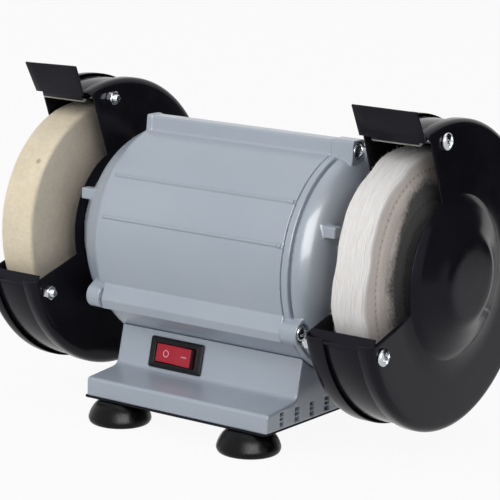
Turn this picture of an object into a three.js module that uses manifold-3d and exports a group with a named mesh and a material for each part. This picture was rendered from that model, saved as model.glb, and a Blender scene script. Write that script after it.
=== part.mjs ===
// Bench polishing machine: a motor on a cast pedestal turns a felt wheel and a stitched
// cloth wheel, each inside a sheet-steel guard that is open at the front.
// Units are millimetres. X runs along the shaft, -Y is the operator's side, +Z is up,
// and the origin lies on the bench, under the middle of the machine.

import * as THREE from 'three';
import { mergeVertices } from 'three/addons/utils/BufferGeometryUtils.js';
import Module from 'manifold-3d';

const wasm = await Module();
wasm.setup();

// Driving dimensions
const barrelRadius = 68.8;
const barrelWall = 5.3;
const bodyLength = 137;
const wheelRadius = 75;
const wheelClearance = 18;
const feltWidth = 25;
const clothWidth = 22.8;
const skirtBottom = 15.6;
const skirtTop = 27.1;
const shelfLift = 4.9;
const wallTop = 43.4;
const bezelLength = 40.3;
const bezelHeight = 19.4;
const sheet = 1;
const fit = 0.3;
const overrun = 2;

const halfBody = bodyLength / 2;
const barrelBoreRadius = barrelRadius - barrelWall;
const guardRadius = wheelRadius + wheelClearance;

// The pedestal's wall is as high as the switch needs, and the motor lies on top of it
const wallMargin = 3.63;
const wallRise = bezelHeight + wallMargin;
const saddleRadius = barrelRadius + fit;
const saddleFall = Math.sqrt(saddleRadius * saddleRadius - wallTop * wallTop);
const shaftHeight = skirtTop + shelfLift + wallRise + saddleFall;

// Angles in degrees, measured from the top towards the front
const mouthTop = 21.5;
const mouthBottom = 106.5;
const guardBoltAngles = { top: 11.5, front: 113.5, rear: 242 };
const guardScrewAngles = { upper: 0, front: 120, rear: 240 };
const tieBoltAngles = { top: 11, front: 118, rear: 242 };

const paint = new THREE.MeshStandardMaterial({ color: 0xa0a8b2, roughness: 0.35, metalness: 0.1 });
const blackPaint = new THREE.MeshStandardMaterial({ color: 0x17161b, roughness: 0.2, metalness: 0.2 });
const zinc = new THREE.MeshStandardMaterial({ color: 0xc9ccd0, roughness: 0.3, metalness: 0.95 });
const steel = new THREE.MeshStandardMaterial({ color: 0x9c9fa3, roughness: 0.35, metalness: 0.95 });
const rubber = new THREE.MeshStandardMaterial({ color: 0x141414, roughness: 0.55, metalness: 0 });
const felt = new THREE.MeshStandardMaterial({ color: 0xdccbaa, roughness: 0.95, metalness: 0 });
const cloth = new THREE.MeshStandardMaterial({ color: 0xe1deda, roughness: 0.95, metalness: 0 });
const copper = new THREE.MeshStandardMaterial({ color: 0xb06a3b, roughness: 0.4, metalness: 0.7 });
const laminations = new THREE.MeshStandardMaterial({ color: 0x6f7378, roughness: 0.5, metalness: 0.8 });
const blackPlastic = new THREE.MeshStandardMaterial({ color: 0x151517, roughness: 0.45, metalness: 0 });
const redPlastic = new THREE.MeshStandardMaterial({ color: 0xa5283a, roughness: 0.3, metalness: 0 });
const whitePlastic = new THREE.MeshStandardMaterial({ color: 0xe6e6e2, roughness: 0.5, metalness: 0 });

const degree = Math.PI / 180;
const sideOf = { left: -1, right: 1 };
const shaftLine = new THREE.Group();
shaftLine.position.z = shaftHeight;
const stand = new THREE.Group();
const machine = new THREE.Group();
machine.add(shaftLine, stand);

// Solids: a closed triangle mesh goes into the boolean kernel and comes back out of it

function signedVolume(position, index) {
  const a = new THREE.Vector3();
  const b = new THREE.Vector3();
  const c = new THREE.Vector3();
  let sum = 0;
  for (let i = 0; i < index.length; i += 3) {
    a.fromBufferAttribute(position, index[i]);
    b.fromBufferAttribute(position, index[i + 1]);
    c.fromBufferAttribute(position, index[i + 2]);
    sum += a.dot(b.cross(c));
  }
  return sum;
}

function toSolid(geometry) {
  const bare = geometry.clone();
  bare.deleteAttribute('normal');
  bare.deleteAttribute('uv');
  const merged = mergeVertices(bare);
  const old = merged.index.array;
  const index = [];
  for (let i = 0; i < old.length; i += 3) {
    const [a, b, c] = [old[i], old[i + 1], old[i + 2]];
    if (a !== b && b !== c && c !== a) index.push(a, b, c);
  }
  if (signedVolume(merged.attributes.position, index) < 0) index.reverse();
  return new wasm.Manifold(new wasm.Mesh({
    numProp: 3,
    vertProperties: new Float32Array(merged.attributes.position.array),
    triVerts: new Uint32Array(index),
  }));
}

function toGeometry(solid) {
  const mesh = solid.getMesh();
  const geometry = new THREE.BufferGeometry();
  geometry.setAttribute('position', new THREE.BufferAttribute(new Float32Array(mesh.vertProperties), 3));
  geometry.setIndex(Array.from(mesh.triVerts));
  geometry.computeVertexNormals();
  return geometry;
}

function join(...solids) {
  return solids.reduce((sum, solid) => sum.add(solid));
}

function cut(solid, ...tools) {
  return tools.reduce((rest, tool) => rest.subtract(tool), solid);
}

// The mirror image across the middle plane of the machine, for the left-hand side
function mirrored(solid) {
  const geometry = toGeometry(solid);
  geometry.scale(-1, 1, 1);
  return toSolid(geometry);
}

function onSide(solid, side) {
  return side < 0 ? mirrored(solid) : solid;
}

function add(group, name, solid, material) {
  const mesh = new THREE.Mesh(toGeometry(solid), material);
  mesh.name = name;
  group.add(mesh);
  return mesh;
}

// Forms

// A closed profile of [distance along the shaft, radius] pairs turned about the X axis
function revolve(profile, segments) {
  const points = profile.map(([x, r]) => new THREE.Vector2(r, x));
  if (profile[0][1] > 0 || profile[profile.length - 1][1] > 0) points.push(points[0].clone());
  const geometry = new THREE.LatheGeometry(points, segments);
  geometry.rotateZ(-Math.PI / 2);
  return toSolid(geometry);
}

// A closed outline of [y, z] pairs run along X
function alongX(outline, from, to, holes = []) {
  const shape = new THREE.Shape(outline.map(([y, z]) => new THREE.Vector2(y, z)));
  for (const hole of holes) shape.holes.push(new THREE.Path(hole.map(([y, z]) => new THREE.Vector2(y, z))));
  const geometry = new THREE.ExtrudeGeometry(shape, { depth: to - from, bevelEnabled: false });
  const axes = new THREE.Matrix4().makeBasis(
    new THREE.Vector3(0, 1, 0), new THREE.Vector3(0, 0, 1), new THREE.Vector3(1, 0, 0));
  geometry.applyMatrix4(axes);
  geometry.translate(from, 0, 0);
  return toSolid(geometry);
}

// A closed outline of [x, y] pairs raised along Z
function alongZ(outline, from, to) {
  const shape = new THREE.Shape(outline.map(([x, y]) => new THREE.Vector2(x, y)));
  const geometry = new THREE.ExtrudeGeometry(shape, { depth: to - from, bevelEnabled: false });
  geometry.translate(0, 0, from);
  return toSolid(geometry);
}

function block(low, high) {
  const size = high.map((value, i) => value - low[i]);
  const geometry = new THREE.BoxGeometry(...size);
  geometry.translate(...low.map((value, i) => value + size[i] / 2));
  return toSolid(geometry);
}

// [y, z] of a point at a radius and an angle from the top towards the front
function polar(radius, angle) {
  return [-radius * Math.sin(angle * degree), radius * Math.cos(angle * degree)];
}

function circle(radius, [y, z], sides) {
  return Array.from({ length: sides }, (_, i) => {
    const turn = (2 * Math.PI * i) / sides;
    return [y + radius * Math.cos(turn), z + radius * Math.sin(turn)];
  });
}

// Points of an arc about a centre, both ends included, angles from the first axis
function arc([a, b], radiusA, radiusB, fromDeg, toDeg, steps) {
  return Array.from({ length: steps + 1 }, (_, i) => {
    const turn = (fromDeg + ((toDeg - fromDeg) * i) / steps) * degree;
    return [a + radiusA * Math.cos(turn), b + radiusB * Math.sin(turn)];
  });
}

// The closed outline of a bent sheet, half its thickness to each side of a middle line
function strip(path, thickness) {
  const points = path.map(([a, b]) => new THREE.Vector2(a, b));
  const left = [];
  const right = [];
  points.forEach((point, i) => {
    const before = points[Math.max(i - 1, 0)];
    const after = points[Math.min(i + 1, points.length - 1)];
    const into = point.clone().sub(before).normalize();
    const out = after.clone().sub(point).normalize();
    const heading = into.clone().add(out).normalize();
    const bend = i > 0 && i < points.length - 1 ? into.dot(heading) : 1;
    const offset = new THREE.Vector2(-heading.y, heading.x).multiplyScalar(thickness / 2 / bend);
    left.push([point.x + offset.x, point.y + offset.y]);
    right.unshift([point.x - offset.x, point.y - offset.y]);
  });
  return left.concat(right);
}

function rounded([low, high], radius, steps) {
  const corners = [
    [[high[0] - radius, high[1] - radius], 0],
    [[low[0] + radius, high[1] - radius], 90],
    [[low[0] + radius, low[1] + radius], 180],
    [[high[0] - radius, low[1] + radius], 270],
  ];
  return corners.flatMap(([centre, start]) => arc(centre, radius, radius, start, start + 90, steps));
}

// A straight round bar along X about a point of the YZ plane
function bar(radius, from, to, place, sides) {
  return alongX(circle(radius, place, sides), from, to);
}

// Motor casing: a cup that holds the stator and the left bearing, closed by one end bell

const ribHeight = 0.8;
const ribWidth = 1.6;
const ribAngles = [52.5, 75.1, 284.9, 307.5];
const tieBoltRadius = 2.5;
const tieBoltRise = 1.7;
const tieBoltCircle = barrelRadius + tieBoltRise;
const tieHole = tieBoltRadius + fit;
const casingSides = 30;
const holeSides = 8;
const driveSides = 14;
const shaftJournal = 7.5;
const bearingRadius = 17.5;
const bearingWidth = 11;
const bearingLand = 4.8;
const bearingSeatWall = 5;
const noseRadius = 42;
const noseStep = 3;
const noseThickness = 6;
const casingWall = 4;
const shaftGap = 0.45;

// The cup reaches past the barrel in one curve; the bell has a ring, a groove and a dome
const cupDepth = 23;
const cupNose = 10.7;
const bellRingLength = 4.6;
const grooveWidth = 1.8;
const domeLength = 14.8;
const bellNose = 8.1;

const bellStart = halfBody + fit;
const grooveStart = bellStart + bellRingLength;
const domeStart = grooveStart + grooveWidth;
const noseFace = { left: halfBody + cupDepth + cupNose, right: domeStart + domeLength + bellNose };
const guardFace = { left: noseFace.left + fit, right: noseFace.right + fit };
const bearingFace = Math.min(noseFace.left, noseFace.right) - bearingLand;
const domeInner = noseRadius + noseStep;
const bearingBore = bearingRadius + fit;
const bearingInner = bearingFace - bearingWidth;
const shaftClear = shaftJournal + shaftGap;
const seatRadius = bearingBore + bearingSeatWall;

const tiePlace = {};
for (const [where, angle] of Object.entries(tieBoltAngles)) tiePlace[where] = polar(tieBoltCircle, angle);

// The tie-bolt rails follow the bolt that each one carries
const railReach = 7;
const railTopRise = 6;
const railBack = 5.6;
const railDraft = 1;
const topRail = (([y, z]) => [
  [y - railReach, z - railReach], [y - railReach + railDraft, z + railTopRise],
  [y + railBack - railDraft, z + railTopRise], [y + railBack, z - railReach],
])(tiePlace.top);

const railShoulder = [2.7, 8.4];
const railLip = [6.3, 1.1];
const railUnder = [4.3, 6.9];
const railBehind = [8.5, 9.5];
const frontRail = (([y, z]) => [
  [y - railShoulder[0], z + railShoulder[1]], [y - railLip[0], z - railLip[1]],
  [y - railUnder[0], z - railUnder[1]], [y + railBehind[0], z - railBehind[1]],
  [y + railBehind[0], z + railShoulder[1]],
])(tiePlace.front);
const rearRail = frontRail.map(([y, z]) => [-y, z]).reverse();

const rails = { top: topRail, front: frontRail, rear: rearRail };

// Each bolt's lug on the bell carries the head, and its boss on the cup the thread
const lugRadius = 7.6;
const lugTip = [2.6, 10.2];
const lugSides = 10;
const topLugLength = 9.1;
const sideLugLength = 5.6;
const topBossLength = 1.7;
const sideBossLength = 8.5;
const lugEnd = {
  top: domeStart + topLugLength,
  front: domeStart + sideLugLength,
  rear: domeStart + sideLugLength,
};
const bossEnd = {
  top: halfBody + topBossLength,
  front: halfBody + sideBossLength,
  rear: halfBody + sideBossLength,
};
const threadLand = 3;
const headRadius = 4.4;
const headHeight = 2.8;
const headRecess = 3.2;
const headPocket = headRadius + 2 * fit;
const headLandShare = 0.4;
const headTopShare = 0.6;

function teardrop([y, z]) {
  const lean = -Math.sign(y);
  const start = 90 + 40 * -lean;
  const round = arc([y, z], lugRadius, lugRadius, start, start - 280 * lean, lugSides);
  return round.concat([[y + lean * lugTip[0], z + lugTip[1]]]);
}

const lugOutlines = { top: topRail, front: teardrop(tiePlace.front), rear: teardrop(tiePlace.rear) };

// A small cast block stands on each domed end, level with the ribs
const blockInset = 15.3;
const blockDepth = 6.5;
const blockLow = 23.5;
const blockHeight = 7;
const blockShort = 3.1;
const blockReach = barrelRadius - blockInset;
const blockEnd = noseFace.right - blockShort;

function castBlocks(from) {
  return [-blockReach, blockReach - blockDepth].map((y) =>
    block([from, y, blockLow], [blockEnd, y + blockDepth, blockLow + blockHeight]));
}

// The bearing's seat and the shaft's hole, cut from the inside of an end
function bearingSeat(face) {
  return revolve([
    [bearingInner - overrun, 0], [bearingInner - overrun, bearingBore], [bearingFace, bearingBore],
    [bearingFace, shaftClear], [face + overrun, shaftClear], [face + overrun, 0],
  ], driveSides);
}

function screwHolesAt(face) {
  return Object.values(guardScrewAngles).map((angle) => {
    const place = polar(guardScrewCircle, angle);
    return bar(guardScrewRadius + fit, face - guardScrewGrip, face + overrun, place, holeSides);
  });
}

// The cup's closed end, as shares of its depth and of its drop in radius
const cupDrop = barrelRadius - domeInner;
const cupShares = [[0, 0], [0.33, 0.15], [0.59, 0.29], [0.78, 0.43], [0.91, 0.6], [1, 1]];

function motorHousing() {
  const face = noseFace.left;
  const outside = cupShares.map(([along, down]) => [
    halfBody + cupDepth * along,
    barrelRadius - cupDrop * down]);
  const roomShares = cupShares.filter((_, i) => i % 2 === 0 || i === cupShares.length - 1);
  const inside = roomShares.map(([along, down]) => [
    halfBody + (cupDepth - casingWall) * along,
    barrelBoreRadius - (cupDrop - barrelRadius + barrelBoreRadius + casingWall) * down]);
  const seat = face - noseThickness;
  let shell = revolve([
    [-halfBody, 0], [-halfBody, barrelRadius], ...outside,
    [outside[cupShares.length - 1][0], noseRadius], [face, noseRadius], [face, 0],
  ], casingSides);
  for (const [where, outline] of Object.entries(rails)) {
    const end = where === 'top' ? bossEnd.top : halfBody;
    shell = join(shell, alongX(outline, -halfBody, end));
    if (where !== 'top') shell = join(shell, alongX(lugOutlines[where], halfBody - overrun, bossEnd[where]));
  }
  for (const angle of ribAngles) {
    const [y, z] = polar(barrelRadius, angle);
    const rib = alongX([
      [-ribWidth / 2, -ribHeight], [ribWidth / 2, -ribHeight],
      [ribWidth / 4, ribHeight], [-ribWidth / 4, ribHeight],
    ], -halfBody, halfBody);
    shell = join(shell, rib.rotate([angle, 0, 0]).translate([0, y, z]));
  }
  shell = join(shell, ...castBlocks(halfBody + overrun));
  const room = revolve([
    [-halfBody - overrun, 0], [-halfBody - overrun, barrelBoreRadius], ...inside,
    [seat, noseRadius - casingWall], [seat, seatRadius], [bearingInner, seatRadius], [bearingInner, 0],
  ], casingSides);
  const holes = Object.entries(tiePlace).map(([where, place]) =>
    bar(tieHole, -halfBody - overrun, bossEnd[where] - threadLand, place, holeSides));
  const body = mirrored(cut(shell, room, bearingSeat(face), ...holes, ...screwHolesAt(face)));
  return cut(body, ...saddleScrewPlaces.map((x) => saddleHole(x)));
}

// The end bell: a short ring, a groove, a domed shoulder and a nose that carries the guard

const bellRingRise = 0.5;
const grooveDepth = 2;
const domeSteps = 3;
const bellRadius = barrelRadius + bellRingRise;
const domeRise = barrelRadius - bellRingRise - domeInner;

function endBell() {
  const face = noseFace.right;
  const seat = face - noseThickness;
  const dome = arc([domeStart, domeInner], domeLength, domeRise, 90, 0, domeSteps);
  const hollowLength = domeLength - casingWall;
  const hollow = arc([domeStart, domeInner], hollowLength, domeRise - casingWall, 90, 0, domeSteps - 1);
  let body = revolve([
    [bellStart, 0], [bellStart, bellRadius],
    [grooveStart, bellRadius], [grooveStart, bellRadius - grooveDepth],
    [domeStart, bellRadius - grooveDepth], ...dome,
    [domeStart + domeLength, noseRadius], [face, noseRadius], [face, 0],
  ], casingSides);
  for (const [where, outline] of Object.entries(lugOutlines)) {
    body = join(body, alongX(outline, bellStart, lugEnd[where]));
  }
  body = join(body, ...castBlocks(domeStart + overrun));
  const room = revolve([
    [bellStart - overrun, 0], [bellStart - overrun, barrelBoreRadius], ...hollow,
    [seat, noseRadius - casingWall], [seat, seatRadius], [bearingInner, seatRadius], [bearingInner, 0],
  ], casingSides);
  const holes = Object.entries(tiePlace).flatMap(([where, place]) => [
    bar(tieHole, bellStart - overrun, lugEnd[where] + overrun, place, holeSides),
    bar(headPocket, lugEnd[where] - headRecess, lugEnd[where] + overrun, place, lugSides),
  ]);
  return cut(body, room, bearingSeat(face), ...holes, ...screwHolesAt(face));
}

function tieBolt(where) {
  const place = tiePlace[where];
  const start = lugEnd[where] - headRecess + fit;
  const shank = bar(tieBoltRadius, -bossEnd[where] + threadLand + fit, start + overrun / 2, place, holeSides);
  const head = revolve([
    [start, 0], [start, headRadius], [start + headHeight * headLandShare, headRadius],
    [start + headHeight, headRadius * headTopShare], [start + headHeight, 0],
  ], lugSides).translate([0, ...place]);
  return join(shank, head);
}

// Along the arbor: shoulder, flange, wheel, flange and nut. The guards close round them

const shoulderProud = 0.8;
const arborStep = 1.15;
const threadProud = 1.5;
const shaftChamfer = 1;
const wheelFlange = 22;
const flangeRecess = 13;
const shallowDepth = 2.4;
const deepDepth = 12.6;
const hubRadius = 12;
const seatDepth = 2.4;
const nutAcross = 19;
const nutHeight = 6.5;
const wheelGap = 1.5;

const arborRadius = shaftJournal - arborStep;
const shoulder = Math.max(guardFace.left, guardFace.right) + sheet + shoulderProud;
const flangeStart = shoulder + fit;
const feltInner = flangeStart + deepDepth + fit;
const clothInner = flangeStart + shallowDepth + fit;
const feltOuter = feltInner + feltWidth + fit;
const clothOuter = clothInner + clothWidth + fit;
const leftNut = feltOuter + shallowDepth + fit;
const rightNut = clothOuter + deepDepth + fit;
const shaftEnd = leftNut + nutHeight + threadProud;
const arborHole = arborRadius + fit;
const coverInside = feltInner + feltWidth + wheelGap;
const guardOuterFace = coverInside + sheet;

// Guards: two flanged pans, a rolled rim between them and a bent flap over the mouth

const panFlange = 9.5;
const panCorner = 5;
const hubMargin = 7.5;
const hubInset = 12;
const guardSides = 28;
const cornerSteps = 2;
const guardScrewInset = 6.5;
const guardScrewRadius = 2;
const guardScrewHead = 3.8;
const guardScrewRise = 1.8;
const guardScrewTopShare = 0.6;
const threadEnd = 0.5;
const guardBoltInset = 9;
const guardBoltRadius = 2.5;
const guardBoltHead = 5.2;
const guardBoltHeadRise = 3.2;
const guardBoltTail = 2.6;
const guardNutAcross = 8;
const guardNutHeight = 4;
const guardBoltLandShare = 0.45;
const guardBoltTopShare = 0.55;
const footRise = 2;
const shoulderRoom = 2.5;
const shoulderRound = 3;
const shaftRoom = 2.5;

const guardFlangeEnd = Math.max(guardFace.left, guardFace.right) + panFlange;
const coverFlangeStart = guardOuterFace - panFlange;
const hubDisc = noseRadius + hubMargin;
const hubHole = noseRadius - hubInset;
const guardScrewCircle = noseRadius - guardScrewInset;
const guardScrewGrip = noseThickness - threadEnd;
const guardBoltCircle = guardRadius - guardBoltInset;
const guardHole = guardBoltRadius + fit;

// The pressed dome clears the wheel's flange and the end of the shaft
const domeShoulder = wheelFlange + shoulderRoom;
const domeHeight = shaftEnd + shaftRoom - coverInside;

// The part of a guard plate that the mouth takes away, outside the hub disc
function mouthWedge(from, to) {
  const steps = 6;
  const step = (mouthBottom - mouthTop) / steps;
  const reach = (guardRadius + overrun) / Math.cos((step / 2) * degree);
  const outer = Array.from({ length: steps + 1 }, (_, i) => polar(reach, mouthTop + step * i));
  const inner = Array.from({ length: steps + 1 }, (_, i) => polar(hubDisc, mouthBottom - step * i));
  return alongX(outer.concat(inner), from, to);
}

function guardBoltHoles(from, to) {
  return Object.values(guardBoltAngles).map((angle) =>
    bar(guardHole, from, to, polar(guardBoltCircle, angle), holeSides));
}

function innerPan(hand) {
  const face = guardFace[hand];
  const centre = [face + panCorner, guardRadius - panCorner];
  const reach = panCorner - sheet;
  const profile = [
    [face, hubHole], ...arc(centre, panCorner, panCorner, 180, 90, cornerSteps),
    [guardFlangeEnd, guardRadius], [guardFlangeEnd, guardRadius - sheet],
    ...arc(centre, reach, reach, 90, 180, cornerSteps), [face + sheet, hubHole],
  ];
  const screwHoles = Object.values(guardScrewAngles).map((angle) => {
    const place = polar(guardScrewCircle, angle);
    return bar(guardScrewRadius + fit, face - overrun, face + sheet + overrun, place, holeSides);
  });
  const body = cut(
    revolve(profile, guardSides),
    mouthWedge(face - overrun, guardFlangeEnd + overrun),
    ...guardBoltHoles(face - overrun, face + sheet + overrun),
    ...screwHoles,
  );
  return onSide(body, sideOf[hand]);
}

function outerCover(side) {
  const centre = [guardOuterFace - panCorner, guardRadius - panCorner];
  const reach = panCorner - sheet;
  const outerCorner = arc(centre, panCorner, panCorner, 90, 0, cornerSteps);
  const innerCorner = arc(centre, reach, reach, 0, 90, cornerSteps);
  const pressed = [
    [0, hubDisc + footRise / 2], [footRise, hubDisc - footRise],
    [domeHeight - sheet, domeShoulder + shoulderRound],
    [domeHeight, domeShoulder - shoulderRound], [domeHeight, 0],
  ];
  const outside = pressed.map(([rise, radius]) => [guardOuterFace + rise, radius]);
  const inside = pressed
    .map(([rise, radius]) => [coverInside + rise, Math.max(radius - sheet / 2, 0)])
    .reverse();
  const profile = [
    [coverFlangeStart, guardRadius], ...outerCorner, ...outside,
    ...inside, ...innerCorner, [coverFlangeStart, guardRadius - sheet],
  ];
  const body = cut(
    revolveDisc(profile, guardSides),
    mouthWedge(coverFlangeStart - overrun, guardOuterFace + footRise / 2),
    ...guardBoltHoles(coverInside - overrun, guardOuterFace + overrun),
  );
  return onSide(body, side);
}

// A profile that meets the axis in the middle of its list, so it starts again from there
function revolveDisc(profile, segments) {
  const touch = profile.findIndex(([, radius], i) => radius === 0 && profile[i + 1][1] === 0);
  return revolve(profile.slice(touch + 1).concat(profile.slice(0, touch + 1)), segments);
}

// The pans are many-sided, so the rim clears the middle of each of their sides
const rimRadius = (guardRadius - sheet) * Math.cos(Math.PI / guardSides) - fit;
const rimMiddle = rimRadius - sheet / 2;
const rimStart = guardFace.left + panCorner + fit;
const rimEnd = guardOuterFace - panCorner - fit;
const lipEnd = coverInside - 2 * fit;
const rimFoot = 109.5;
const rimSteps = 24;
const lipInset = 7.8;
const lipTopAngle = 105.4;
const foldInset = 4.4;
const foldAngle = 109;
const lipTop = polar(guardRadius - lipInset, lipTopAngle);
const lipFold = polar(guardRadius - foldInset, foldAngle);

// The folded lip is as wide as the inside of its guard, from the pan to the cover
function rim(hand) {
  const lipStart = guardFace[hand] + sheet + 2 * fit;
  const turn = 360 + mouthTop - rimFoot;
  const sweep = Array.from({ length: rimSteps + 1 }, (_, i) =>
    polar(rimMiddle, rimFoot + (turn * i) / rimSteps));
  const band = alongX(strip(sweep, sheet), rimStart, rimEnd);
  const lip = alongX(strip([lipTop, lipFold], sheet), lipStart, lipEnd);
  const bridge = alongX(strip([lipTop, lipFold, sweep[0], sweep[1]], sheet), rimStart, rimEnd);
  return onSide(join(band, bridge, lip), sideOf[hand]);
}

const flapSheet = 1.2;
const flapRise = 20.6;
const flapTopAngle = 25.78;
const flapFootAngle = 24.67;
const flapTop = polar(guardRadius + flapRise, flapTopAngle);
const flapFoot = polar(guardRadius - sheet, flapFootAngle);
const flapTuck = rimRadius - sheet - 2 * fit - flapSheet / 2;
const flapTuckFrom = 23.2;
const flapTuckTo = 13.5;
const flapTuckSteps = 3;

function flap(side) {
  const tuck = Array.from({ length: flapTuckSteps + 1 }, (_, i) =>
    polar(flapTuck, flapTuckFrom + ((flapTuckTo - flapTuckFrom) * i) / flapTuckSteps));
  const wide = alongX(strip([flapTop, flapFoot, tuck[0]], flapSheet), guardFace.left, guardOuterFace);
  const narrow = alongX(strip([flapFoot, ...tuck], flapSheet), rimStart, rimEnd);
  return onSide(join(wide, narrow), side);
}

function guardBolt(hand, angle) {
  const place = polar(guardBoltCircle, angle);
  const under = guardOuterFace + fit;
  const tail = guardFace[hand] - fit - guardNutHeight - guardBoltTail;
  const shank = bar(guardBoltRadius, tail, under + overrun / 2, place, holeSides);
  const head = revolve([
    [under, 0], [under, guardBoltHead], [under + guardBoltHeadRise * guardBoltLandShare, guardBoltHead],
    [under + guardBoltHeadRise, guardBoltHead * guardBoltTopShare], [under + guardBoltHeadRise, 0],
  ], lugSides).translate([0, ...place]);
  return onSide(join(shank, head), sideOf[hand]);
}

function hexNut(across, boreRadius, from, to, place, boreSides) {
  const corner = across / 2 / Math.cos(30 * degree);
  const bore = bar(boreRadius, from - overrun, to + overrun, place, boreSides);
  return cut(bar(corner, from, to, place, 6), bore);
}

function guardScrew(hand, angle) {
  const place = polar(guardScrewCircle, angle);
  const under = guardFace[hand] + sheet + fit;
  const tail = noseFace[hand] - guardScrewGrip + fit;
  const shank = bar(guardScrewRadius, tail, under + overrun / 4, place, holeSides);
  const head = revolve([
    [under, 0], [under, guardScrewHead],
    [under + guardScrewRise, guardScrewHead * guardScrewTopShare], [under + guardScrewRise, 0],
  ], holeSides).translate([0, ...place]);
  return onSide(join(shank, head), sideOf[hand]);
}

// Drive line: shaft, rotor, bearings, wheels, wheel flanges and nuts

const statorDepth = 30.5;
const rotorLength = 44;
const ringStep = 5;
const ringLength = 6;
const shaftStep = 1.5;
const wheelSides = 30;
const feltRound = 3.5;
const clothRound = 5;
const clothSag = 2;

const rotorRadius = barrelBoreRadius - statorDepth;
const ringRadius = rotorRadius - ringStep;
const shaftBodyRadius = shaftJournal + shaftStep;

function shaft() {
  const halfRotor = rotorLength / 2 + ringLength + fit;
  const half = [
    [halfRotor, shaftBodyRadius], [bearingInner - fit, shaftBodyRadius], [bearingInner - fit, shaftJournal],
    [shoulder, shaftJournal], [shoulder, arborRadius], [shaftEnd - shaftChamfer, arborRadius],
    [shaftEnd, arborRadius - shaftChamfer], [shaftEnd, 0],
  ];
  const other = half.map(([x, r]) => [-x, r]).reverse();
  return revolve([...other, ...half], driveSides);
}

function rotor() {
  const half = rotorLength / 2;
  const bore = shaftBodyRadius + fit;
  const profile = [
    [-half - ringLength, bore], [-half - ringLength, ringRadius], [-half, ringRadius], [-half, rotorRadius],
    [half, rotorRadius], [half, ringRadius], [half + ringLength, ringRadius], [half + ringLength, bore],
  ];
  return revolve(profile, driveSides);
}

function bearing(side) {
  const inner = shaftJournal + fit;
  return onSide(revolve([
    [bearingInner + fit, inner], [bearingInner + fit, bearingRadius],
    [bearingFace - fit, bearingRadius], [bearingFace - fit, inner],
  ], driveSides), side);
}

// A dished washer that grips the wheel on its rim; the deep one is a distance piece as well
function wheelFlangeSolid(from, depth, facing, side) {
  const hollow = Math.min(seatDepth, depth) / 2;
  const plate = facing > 0 ? [from + depth - seatDepth, from + depth] : [from, from + seatDepth];
  const face = facing > 0 ? plate[1] : plate[0];
  const back = facing > 0 ? plate[0] : plate[1];
  const hub = facing > 0 ? from : from + depth;
  const dish = face - facing * hollow;
  const rimStep = [
    [dish, arborHole], [dish, flangeRecess], [face, flangeRecess + hollow],
    [face, wheelFlange], [back, wheelFlange],
  ];
  const hubStep = [[back, hubRadius], [hub, hubRadius], [hub, arborHole]];
  const hubPart = depth > seatDepth ? hubStep : [[back, arborHole]];
  return onSide(revolve([...rimStep, ...hubPart], driveSides), side);
}

function feltWheel() {
  const outer = feltInner + feltWidth;
  const corner = (x, from, to) => arc([x, wheelRadius - feltRound], feltRound, feltRound, from, to, 2);
  return mirrored(revolve([
    [feltInner, arborHole], ...corner(feltInner + feltRound, 180, 90),
    ...corner(outer - feltRound, 90, 0), [outer, arborHole],
  ], wheelSides));
}

function clothWheel() {
  const outer = clothInner + clothWidth;
  const waist = wheelFlange + clothRound;
  return revolve([
    [clothInner, arborHole], [clothInner, waist], [clothInner - clothSag / 2, wheelRadius - 2 * clothRound],
    [clothInner + clothSag, wheelRadius - clothSag / 2], [clothInner + clothWidth / 2, wheelRadius],
    [outer - clothSag, wheelRadius - clothSag / 2], [outer + clothSag / 2, wheelRadius - 2 * clothRound],
    [outer, waist], [outer, arborHole],
  ], wheelSides);
}

const coreRadius = barrelBoreRadius * Math.cos(Math.PI / casingSides) - fit;
const airGap = 0.8;
const slotDepth = 4.2;
const coreBore = rotorRadius + airGap;
const windingInner = coreBore + slotDepth;
const windingRoom = 5.5;
const windingOuter = barrelBoreRadius - windingRoom;
const windingLength = 17;
const statorSides = 20;

function statorCore() {
  const half = rotorLength / 2;
  return revolve([[-half, coreBore], [-half, coreRadius], [half, coreRadius], [half, coreBore]], statorSides);
}

function winding(side) {
  const from = rotorLength / 2 + fit;
  const bulge = windingLength / 3;
  return onSide(revolve([
    [from, windingInner], [from, windingOuter], [from + windingLength - bulge, windingOuter],
    [from + windingLength, windingOuter - bulge], [from + windingLength, windingInner + bulge],
    [from + windingLength - bulge, windingInner],
  ], statorSides), side);
}

// Stand: pedestal, base plate, feet, switch, cord inlet and capacitor

const skirtFront = 78.4;
const skirtEdge = 1.4;
const shelfStep = 4.8;
const shelfRise = 2.2;
const wallLean = 5.3;
const filletReach = 1.8;
const pedestalWall = 4;
const saddleSteps = 12;
const ventPairs = 4;
const ventMargin = 15.2;
const ventWidth = 4.6;
const ventFoot = 2;
const ventHead = 1.1;
const footEndInset = 19.5;
const footInset = 9;
const footRadius = 19.6;
const footNeck = 13;
const footSeat = 13;
const footCup = 2.2;
const footShares = [[0, 0.89], [0.25, 1], [0.5, 0.95], [0.75, 0.84]];
const footSides = 16;
const plateThickness = 1.2;
const plateProud = 0.5;
const plateCorner = 2;
const studRadius = 3;
const studBoss = 6.5;
const studCover = 3.5;
const saddleScrewX = 34;
const saddleScrewRadius = 2.5;
const saddleScrewHead = 4.6;
const saddleScrewRise = 3;
const saddleScrewGrip = 3.4;

const wallFoot = [wallTop + wallLean, skirtTop + shelfLift];
const shelfBack = wallFoot[0] + shelfStep;
const ventPitch = (skirtFront - ventMargin) / ventPairs;
const ventLow = skirtBottom + ventFoot;
const ventHigh = skirtTop - ventHead;
const footX = halfBody - footEndInset;
const footY = skirtFront - footInset;
const studReach = skirtTop - skirtBottom - studCover;
const plateTop = skirtBottom - fit;
const plateBottom = plateTop - plateThickness;
const footTop = plateBottom - fit;
const saddleScrewPlaces = [-saddleScrewX, saddleScrewX];

// The height, below the shaft, of a saddle arc at a distance from the middle plane
function saddleDrop(radius, y) {
  return Math.sqrt(radius * radius - y * y);
}

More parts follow.
